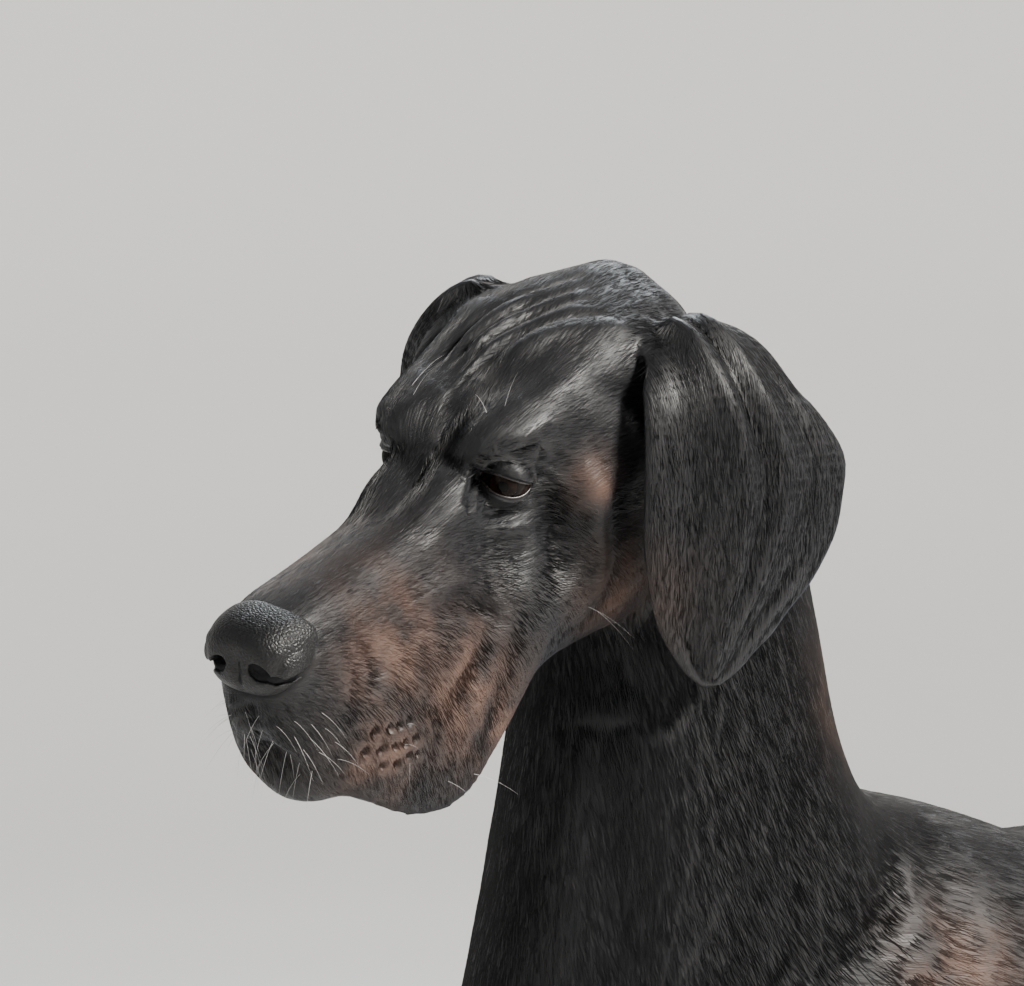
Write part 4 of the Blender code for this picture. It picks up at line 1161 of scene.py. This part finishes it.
def leather_material(colour):
    """Black leather, pebbled by small raised cells."""
    made = material(
        "nose_leather", colour, 0.5, Specular_IOR_Level=0.24, Coat_Weight=0.04, Coat_Roughness=0.2
    )
    tree = made.node_tree
    place = node(tree, "ShaderNodeTexCoord").outputs["Object"]
    cells = node(
        tree, "ShaderNodeTexVoronoi", [("Vector", place)], [("Scale", 520.0)], feature="DISTANCE_TO_EDGE"
    )
    pebbles = calculated(tree, "MINIMUM", cells.outputs["Distance"], 0.35)
    raised = fill_shader(tree, pebbles, 0.0007, 0.9)
    tree.links.new(raised, tree.nodes["Principled BSDF"].inputs["Coat Normal"])
    return made


class DANE_OT_nose(bpy.types.Operator):
    """Build the leather of the nose with its wings, nostrils and seam"""

    bl_idname = "dane.nose"
    bl_label = "Nose"

    def execute(self, context):
        nose = new_object("nose_leather", nose_mesh())
        for table, operation in ((NOSE_WINGS, "UNION"), (NOSTRILS, "DIFFERENCE")):
            for place, radii, turn in table:
                for flip in (1, -1):
                    combined(nose, new_object("ball", head_ball(place, radii, turn, flip)), operation)
        remeshed(nose, NOSE_GRAIN)
        relaxed(nose.data, np.ones(len(nose.data.vertices)), 5, 0.6, 0.0)
        displaced(nose.data, stroke(head_coordinates(points_of(nose.data)), *NOSE_SEAM, ((1, 1),)))
        nose.data.materials.clear()
        nose.data.materials.append(leather_material(context.scene.dane_face.nose))
        nose.data.shade_smooth()
        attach(nose, "root")
        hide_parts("nose")
        return {"FINISHED"}


# Degrees from the middle of the pupil to its edge, and to the iris's, and how far the eyes look inwards.
PUPIL = 12.0
IRIS = 34.0
INWARD_LOOK = math.radians(8)
# Centimetres: how far the ball lies inside the lids, how far the cornea bulges and within how many degrees,
# the radius of the wet rim, and how far its middle stands off the ball.
BALL_INSET = 0.03
CORNEA = 0.05
CORNEA_DEGREES = 32
RIM_RADIUS = 0.055
RIM_LIFT = 0.03


def eye_mesh(flip, sides=64, steps=48):
    """The ball with its cornea, and how many degrees each point is from the middle of the pupil."""
    middle, along, across, facing = eye_frame(flip)
    facing = (facing - along * math.sin(INWARD_LOOK)).normalized()
    side = facing.cross(across).normalized()
    over = side.cross(facing)
    rings, tilts = [], []
    for i in range(1, steps):
        tilt = math.pi * (i / steps) ** 1.3
        bulge = CORNEA * math.cos(min(math.degrees(tilt) / CORNEA_DEGREES, 1) * math.pi / 2) ** 0.7
        reach = (EYE_RADIUS - BALL_INSET + bulge) * CM
        centre, wide = middle + facing * math.cos(tilt) * reach, math.sin(tilt) * reach
        rings.append([centre + (side * math.cos(a) + over * math.sin(a)) * wide for a in full_turn(sides)])
        tilts += [math.degrees(tilt)] * sides
    return facing_out(mesh_from("eye", *loft(rings))), tilts


def eye_material():
    """A dark brown iris round a black pupil, under a wet cornea."""
    made = material(
        "eye_dark", (0.02, 0.01, 0.006), 0.6, Coat_Weight=0.14, Coat_Roughness=0.04, Specular_IOR_Level=0.0
    )
    tree = made.node_tree
    ramp = node(tree, "ShaderNodeValToRGB", [("Fac", stored(tree, "tilt"))])
    stops = ramp.color_ramp
    stops.elements[0].position, stops.elements[0].color = PUPIL / 90, (0.0006, 0.0005, 0.0005, 1)
    stops.elements[1].position, stops.elements[1].color = 0.62, (0.010, 0.007, 0.006, 1)
    for degrees, colour in (
        (PUPIL + 1.2, (0.004, 0.0019, 0.0011, 1)),
        (IRIS - 4, (0.0065, 0.0032, 0.0018, 1)),
        (IRIS, (0.002, 0.0014, 0.0012, 1)),
        (IRIS + 3, (0.004, 0.003, 0.003, 1)),
    ):
        stops.elements.new(degrees / 90).color = colour
    tree.links.new(ramp.outputs["Color"], tree.nodes["Principled BSDF"].inputs["Base Color"])
    return made


def lid_material():
    made = material("lid_rim", (0.012, 0.009, 0.009), 0.3, Coat_Weight=0.1, Coat_Roughness=0.2)
    dark, pale = (0.006, 0.0045, 0.0045), (0.02, 0.014, 0.013)
    return speckled(made, (900, 900, 900), dark, pale, (0.24, 0.42), 0.0002)


def rim_mesh(flip, sides=10, steps=96):
    """A wet rim along the edges of both lids."""
    middle, along, across, facing = eye_frame(flip)
    path = []
    for turn in full_turn(steps):
        x = HALF_OPENING * math.cos(turn)
        upper, lower = lid_edges(x)
        y = float(upper if math.sin(turn) > 0 else lower)
        path.append(middle + (along * x + across * y + facing * (float(ball_height(x, y)) + RIM_LIFT)) * CM)
    points = []
    for i, spot in enumerate(path):
        ahead = (path[(i + 1) % steps] - path[i - 1]).normalized()
        out = (facing - ahead * facing.dot(ahead)).normalized()
        side, radius = ahead.cross(out), RIM_RADIUS * CM
        points += [spot + (out * math.sin(a) + side * math.cos(a)) * radius for a in full_turn(sides)]
    return facing_out(mesh_from("rim", points, bands(steps, sides, closed=True)))


class DANE_OT_eyes(bpy.types.Operator):
    """Set the eyeballs and the wet rims of the lids"""

    bl_idname = "dane.eyes"
    bl_label = "Eyes"

    def execute(self, context):
        dark, wet = eye_material(), lid_material()
        for side, flip in (("left", 1), ("right", -1)):
            mesh, tilts = eye_mesh(flip)
            add_attribute(mesh, "tilt", np.array(tilts) / 90)
            ball, rim = new_object(f"eyeball_{side}", mesh), new_object(f"lid_rim_{side}", rim_mesh(flip))
            ball.data.materials.append(dark)
            rim.data.materials.append(wet)
            for piece, slot in ((ball, "eye"), (rim, "coat")):
                piece.data.shade_smooth()
                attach(piece, "root")
            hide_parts(f"eye_{side}")
        return {"FINISHED"}


# Sections of a claw in centimetres: how far forward, how high, and half its width. Then how much further
# apart the claws stand than the toes' middles, how far ahead of the paw's middle they start, and how much
# taller than wide they are.
CLAW = [
    (0.7, 2.4, 0.40), (1.4, 2.42, 0.52), (2.2, 2.25, 0.56),
    (2.8, 1.80, 0.47), (3.2, 1.25, 0.33), (3.5, 0.75, 0.15),
]
CLAW_SPREAD = 1.05
CLAW_START = 2.6
CLAW_HEIGHT = 1.25


def claw_rings(root, size, scale):
    """The sections of one claw, whose root lies on the floor under it."""
    rings = []
    for forward, high, radius in flow(CLAW, 4):
        wide = max(radius, 0.06) * size * scale
        middle = root + Vector((0, -forward * scale, high * scale))
        rings.append([
            (middle + Vector((math.cos(a) * wide, 0, math.sin(a) * wide * CLAW_HEIGHT))) * CM - SHIFT
            for a in full_turn(18)
        ])
    return rings


class DANE_OT_claws(bpy.types.Operator):
    """Set four blunt claws on every paw"""

    bl_idname = "dane.claws"
    bl_label = "Claws"

    def execute(self, context):
        points, faces = [], []
        for (x, y), scale in PAWS:
            for flip in (1, -1):
                for across, ahead, size in TOES:
                    aside, forward = across * CLAW_SPREAD * scale, (CLAW_START + ahead) * scale
                    root = Vector(((x + aside) * flip, y - forward, 0))
                    spots, sides = loft(claw_rings(root, size, scale))
                    faces += [tuple(i + len(points) for i in side) for side in sides]
                    points += spots
        claws = new_object("claws", facing_out(mesh_from("claws", points, faces)))
        horn = material("claw", (0.012, 0.011, 0.011), 0.34, Coat_Weight=0.25, Coat_Roughness=0.3)
        dark, pale = (0.006, 0.0055, 0.0055), (0.03, 0.026, 0.023)
        claws.data.materials.append(speckled(horn, (900, 120, 900), dark, pale, (0.26, 0.5), 0.0003))
        claws.data.shade_smooth()
        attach(claws, "root")
        return {"FINISHED"}


# Whiskers off the pits, on the left: along, side, up, and centimetres long.
BRISTLES = [
    (-1.0, 0.5, -5.0, 1.4), (-1.4, 1.0, -5.4, 1.6), (-1.8, 1.5, -5.2, 1.7), (-2.3, 2.0, -5.5, 1.6),
    (-2.8, 2.4, -5.2, 1.5), (-1.1, 0.4, -5.9, 1.6), (-1.5, 0.9, -6.3, 1.8), (-1.9, 1.4, -6.0, 1.8),
    (-2.4, 1.9, -6.4, 1.9), (-3.0, 2.4, -6.1, 1.7), (-1.3, 0.7, -6.9, 1.6), (-1.8, 1.2, -7.2, 1.8),
    (-2.2, 1.7, -6.9, 1.9), (-2.7, 2.2, -7.3, 1.9), (-3.4, 2.7, -7.0, 1.7), (-1.8, 0.8, -7.9, 1.5),
    (-2.3, 1.4, -8.1, 1.7), (-2.9, 2.0, -8.2, 1.8), (-3.6, 2.6, -8.0, 1.7), (-2.6, 1.2, -9.0, 1.4),
    (-19.4, 2.8, 4.6, 2.6), (-18.8, 2.2, 4.0, 2.2), (-22.0, 5.8, -7.2, 2.6), (-23.0, 6.0, -8.0, 2.2),
    (-15.6, 4.0, -12.4, 1.8), (-12.6, 4.4, -12.6, 2.0), (-10.4, 4.4, -12.0, 1.8),
]
# The length of the short whiskers in the pits in centimetres, and which of the pits have one. Then how deep a
# whisker is rooted and how far its tip droops in metres, and how thick the tip is against the root.
PIT_BRISTLE = 0.9
BRISTLED_PITS = slice(3, None, 4)
BRISTLE_ROOT = 0.0008
BRISTLE_DROOP = 0.007
BRISTLE_TIP = 0.15


def stored_input(tree, name, kind="FLOAT"):
    """A named attribute, read inside geometry nodes."""
    return result(tree, "GeometryNodeInputNamedAttribute", inputs=[("Name", name)], data_type=kind)


def whisker_tree():
    """Geometry nodes that set a tapering, drooping whisker on every point of a mesh."""
    tree = bpy.data.node_groups.new("whiskers", "GeometryNodeTree")
    tree.interface.new_socket(name="Geometry", in_out="OUTPUT", socket_type="NodeSocketGeometry")
    for name, kind in (
        ("Roots", "Geometry"), ("Radius", "Float"), ("Droop", "Float"), ("Seed", "Int"),
        ("Material", "Material"),
    ):
        tree.interface.new_socket(name=name, in_out="INPUT", socket_type=f"NodeSocket{kind}")
    given = node(tree, "NodeGroupInput").outputs

    line = result(tree, "GeometryNodeCurvePrimitiveLine")
    line = result(tree, "GeometryNodeResampleCurve", [("Curve", line)], [("Count", 9)])
    along = node(tree, "GeometryNodeSplineParameter").outputs["Factor"]
    marked = result(
        tree, "GeometryNodeStoreNamedAttribute", [("Geometry", line), ("Value", along)], [("Name", "along")],
        data_type="FLOAT", domain="POINT",
    )
    taper = calculated(tree, "MULTIPLY_ADD", along, BRISTLE_TIP - 1, 1.0)
    thick = calculated(tree, "MULTIPLY", taper, given["Radius"])
    profile = result(tree, "GeometryNodeCurvePrimitiveCircle", inputs=[("Resolution", 6), ("Radius", 1.0)])
    hair = result(
        tree, "GeometryNodeCurveToMesh", [("Curve", marked), ("Profile Curve", profile), ("Scale", thick)],
        [("Fill Caps", True)],
    )

    way = stored_input(tree, "way", "FLOAT_VECTOR")
    turn = result(tree, "FunctionNodeAlignRotationToVector", [("Vector", way)], axis="Z")
    vary = node(tree, "FunctionNodeRandomValue", [("Seed", given["Seed"])], data_type="FLOAT")
    low, high = (socket for socket in vary.inputs if socket.name in ("Min", "Max") and socket.enabled)
    low.default_value, high.default_value = 0.75, 1.2
    value = next(socket for socket in vary.outputs if socket.enabled)
    tall = calculated(tree, "MULTIPLY", stored_input(tree, "reach"), value)
    scale = result(tree, "ShaderNodeCombineXYZ", [("Z", tall)], [("X", 1.0), ("Y", 1.0)])
    placed = result(tree, "GeometryNodeInstanceOnPoints", [
        ("Points", given["Roots"]), ("Instance", hair), ("Rotation", turn), ("Scale", scale),
    ])
    real = result(tree, "GeometryNodeRealizeInstances", [("Geometry", placed)])

    share = stored_input(tree, "along")
    bend = calculated(tree, "MULTIPLY", calculated(tree, "MULTIPLY", share, share), given["Droop"])
    drop = result(tree, "ShaderNodeCombineXYZ", [("Z", calculated(tree, "MULTIPLY", bend, -1.0))])
    moved = result(tree, "GeometryNodeSetPosition", [("Geometry", real), ("Offset", drop)])
    ends = [("Geometry", moved), ("Material", given["Material"])]
    node(tree, "NodeGroupOutput", [("Geometry", result(tree, "GeometryNodeSetMaterial", ends))])
    return tree


def whisker_roots():
    """A mesh of bare points: the root of each whisker in the skin, which way it points, and its length."""
    spots = [(spot, PIT_BRISTLE) for spot, _ in GROUND["pits"][BRISTLED_PITS]]
    spots += [(head_point(a, s * flip, u), reach) for a, s, u, reach in BRISTLES for flip in (1, -1)]
    back, rng = HEAD_TURN @ Vector((0, 1, 0)), np.random.default_rng(3)
    roots, ways, reaches = [], [], []
    for spot, reach in spots:
        found, facing, _, _ = GROUND["tree"].find_nearest(Vector(spot))
        roots.append(found - facing * BRISTLE_ROOT)
        ways.append(facing * 0.75 + back * 0.45 - Vector((0, 0, 0.15)) + Vector(rng.normal(0, 0.14, 3)))
        reaches.append(reach * CM)
    mesh = mesh_from("whiskers", roots, [])
    mesh.attributes.new("way", "FLOAT_VECTOR", "POINT").data.foreach_set("vector", np.ravel(ways))
    add_attribute(mesh, "reach", reaches)
    return mesh


class DANE_OT_whiskers(bpy.types.Operator):
    """Set the whiskers of the lips, chin, brows and cheeks"""

    bl_idname = "dane.whiskers"
    bl_label = "Whiskers"

    def execute(self, context):
        face = context.scene.dane_face
        whiskers = new_object("whiskers", whisker_roots())
        grow = whiskers.modifiers.new("Whiskers", "NODES")
        grow.node_group = whisker_tree()
        pale = material("whisker", face.whisker, 0.35)
        pale = speckled(pale, (300, 300, 300), (0.34, 0.33, 0.32), face.whisker, (0.3, 0.45), 0.00002)
        inputs = grow.node_group.interface.items_tree
        for name, value in (
            ("Radius", face.whisker_radius), ("Droop", BRISTLE_DROOP), ("Seed", 5), ("Material", pale),
        ):
            grow[inputs[name].identifier] = value
        applied(whiskers)
        whiskers.data.shade_smooth()
        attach(whiskers, "root")
        return {"FINISHED"}


# The photograph's view: degrees to the dog's left and upwards, and metres from the nose tip. Then where the
# tip is in the frame and its scale there, the size of the frame, and the width of the camera's sensor in
# millimetres.
VIEW = (51.6, 6.0, 2.2)
TIP_PIXEL = (236, 624)
PIXELS_PER_METRE = 2131
FRAME_PIXELS = (1024, 986)
SENSOR_WIDTH = 36


def set_camera(scene):
    """Looks at the head as the photograph does."""
    azimuth, elevation = math.radians(VIEW[0]), math.radians(VIEW[1])
    level = math.cos(elevation)
    back = Vector((math.sin(azimuth) * level, -math.cos(azimuth) * level, math.sin(elevation)))
    turn = (-back).to_track_quat("-Z", "Y")
    right, up = turn @ Vector((1, 0, 0)), turn @ Vector((0, 1, 0))
    aside = (TIP_PIXEL[0] - FRAME_PIXELS[0] / 2) / PIXELS_PER_METRE
    below = (TIP_PIXEL[1] - FRAME_PIXELS[1] / 2) / PIXELS_PER_METRE
    lens = bpy.data.cameras.new("camera")
    lens.sensor_width = SENSOR_WIDTH
    lens.lens = SENSOR_WIDTH * VIEW[2] * PIXELS_PER_METRE / FRAME_PIXELS[0]
    camera = new_object("camera", lens)
    camera.location = head_point(0, 0, 0) - right * aside + up * below + back * VIEW[2]
    camera.rotation_euler = turn.to_euler()
    scene.camera = camera


# The floor turns up into a wall all round: distance from the middle and height, in metres.
BACKDROP = [(3.6, 0.0), (4.4, 0.15), (4.9, 0.6), (5.1, 1.4), (5.1, 4.2)]
# Lights: name, place, size in metres, colour, and the setting that holds the power. They all face one place.
LIGHTS = (
    ("key", (2.3, 0.9, 3.1), 0.9, (1.0, 0.96, 0.90), "key_power"),
    ("fill", (-0.6, -2.6, 3.0), 2.2, (0.84, 0.92, 1.0), "fill_power"),
    ("rim", (-1.8, 1.7, 3.0), 1.4, (0.90, 0.96, 1.0), "rim_power"),
)
LIT_PLACE = Vector((0, -0.3, 0.9))
SKY = (0.93, 0.96, 1.0, 1)
SKY_STRENGTH = 0.055


def backdrop_mesh(sides=96):
    rings = [[(r * math.cos(a), r * math.sin(a), z) for a in full_turn(sides)] for r, z in flow(BACKDROP, 6)]
    faces = bands(len(rings), sides) + [tuple(range(sides))[::-1]]
    return mesh_from("floor", [point for ring in rings for point in ring], faces)


def set_light(name, place, size, colour, power):
    light = bpy.data.lights.new(name, "AREA")
    light.size, light.energy, light.color = size, power, colour
    lamp = new_object(name, light)
    lamp.location = place
    lamp.rotation_euler = (LIT_PLACE - Vector(place)).to_track_quat("-Z", "Y").to_euler()


class DANE_OT_stage(bpy.types.Operator):
    """Set the pale floor and backdrop, the soft lights and the camera"""

    bl_idname = "dane.stage"
    bl_label = "Stage"

    def execute(self, context):
        stage = context.scene.dane_stage
        floor = new_object("floor", backdrop_mesh())
        floor.data.materials.append(material("floor", stage.floor_colour, 0.75))
        floor.data.shade_smooth()
        world = bpy.data.worlds.new("studio")
        world.use_nodes = True
        sky = world.node_tree.nodes["Background"]
        sky.inputs["Color"].default_value, sky.inputs["Strength"].default_value = SKY, SKY_STRENGTH
        context.scene.world = world
        for name, place, size, colour, power in LIGHTS:
            set_light(name, place, size, colour, getattr(stage, power))
        set_camera(context.scene)
        return {"FINISHED"}


class DANE_PT_panel(bpy.types.Panel):
    """The dog's pieces and sizes"""

    bl_idname = "DANE_PT_panel"
    bl_label = "Great Dane"
    bl_space_type = "VIEW_3D"
    bl_region_type = "UI"
    bl_category = "Great Dane"

    def draw(self, context):
        for group in (context.scene.dane_skin, context.scene.dane_face, context.scene.dane_stage):
            for name in group.bl_rna.properties.keys():
                if name not in ("rna_type", "name"):
                    self.layout.prop(group, name)
        for operator in PIECES:
            self.layout.operator(operator.bl_idname)


PIECES = (
    DANE_OT_skin, DANE_OT_coat, DANE_OT_nose, DANE_OT_eyes, DANE_OT_claws, DANE_OT_whiskers, DANE_OT_stage,
)
CLASSES = (DaneSkin, DaneFace, DaneStage, *PIECES, DANE_PT_panel)


def register():
    for made in CLASSES:
        bpy.utils.register_class(made)
    bpy.types.Scene.dane_skin = bpy.props.PointerProperty(type=DaneSkin)
    bpy.types.Scene.dane_face = bpy.props.PointerProperty(type=DaneFace)
    bpy.types.Scene.dane_stage = bpy.props.PointerProperty(type=DaneStage)


def unregister():
    del bpy.types.Scene.dane_stage
    del bpy.types.Scene.dane_face
    del bpy.types.Scene.dane_skin
    for made in reversed(CLASSES):
        bpy.utils.unregister_class(made)


def main():
    register()
    bpy.ops.dane.skin()
    bpy.ops.dane.coat()
    bpy.ops.dane.nose()
    bpy.ops.dane.eyes()
    bpy.ops.dane.claws()
    bpy.ops.dane.whiskers()
    bpy.ops.dane.stage()


if __name__ == "__main__":
    main()
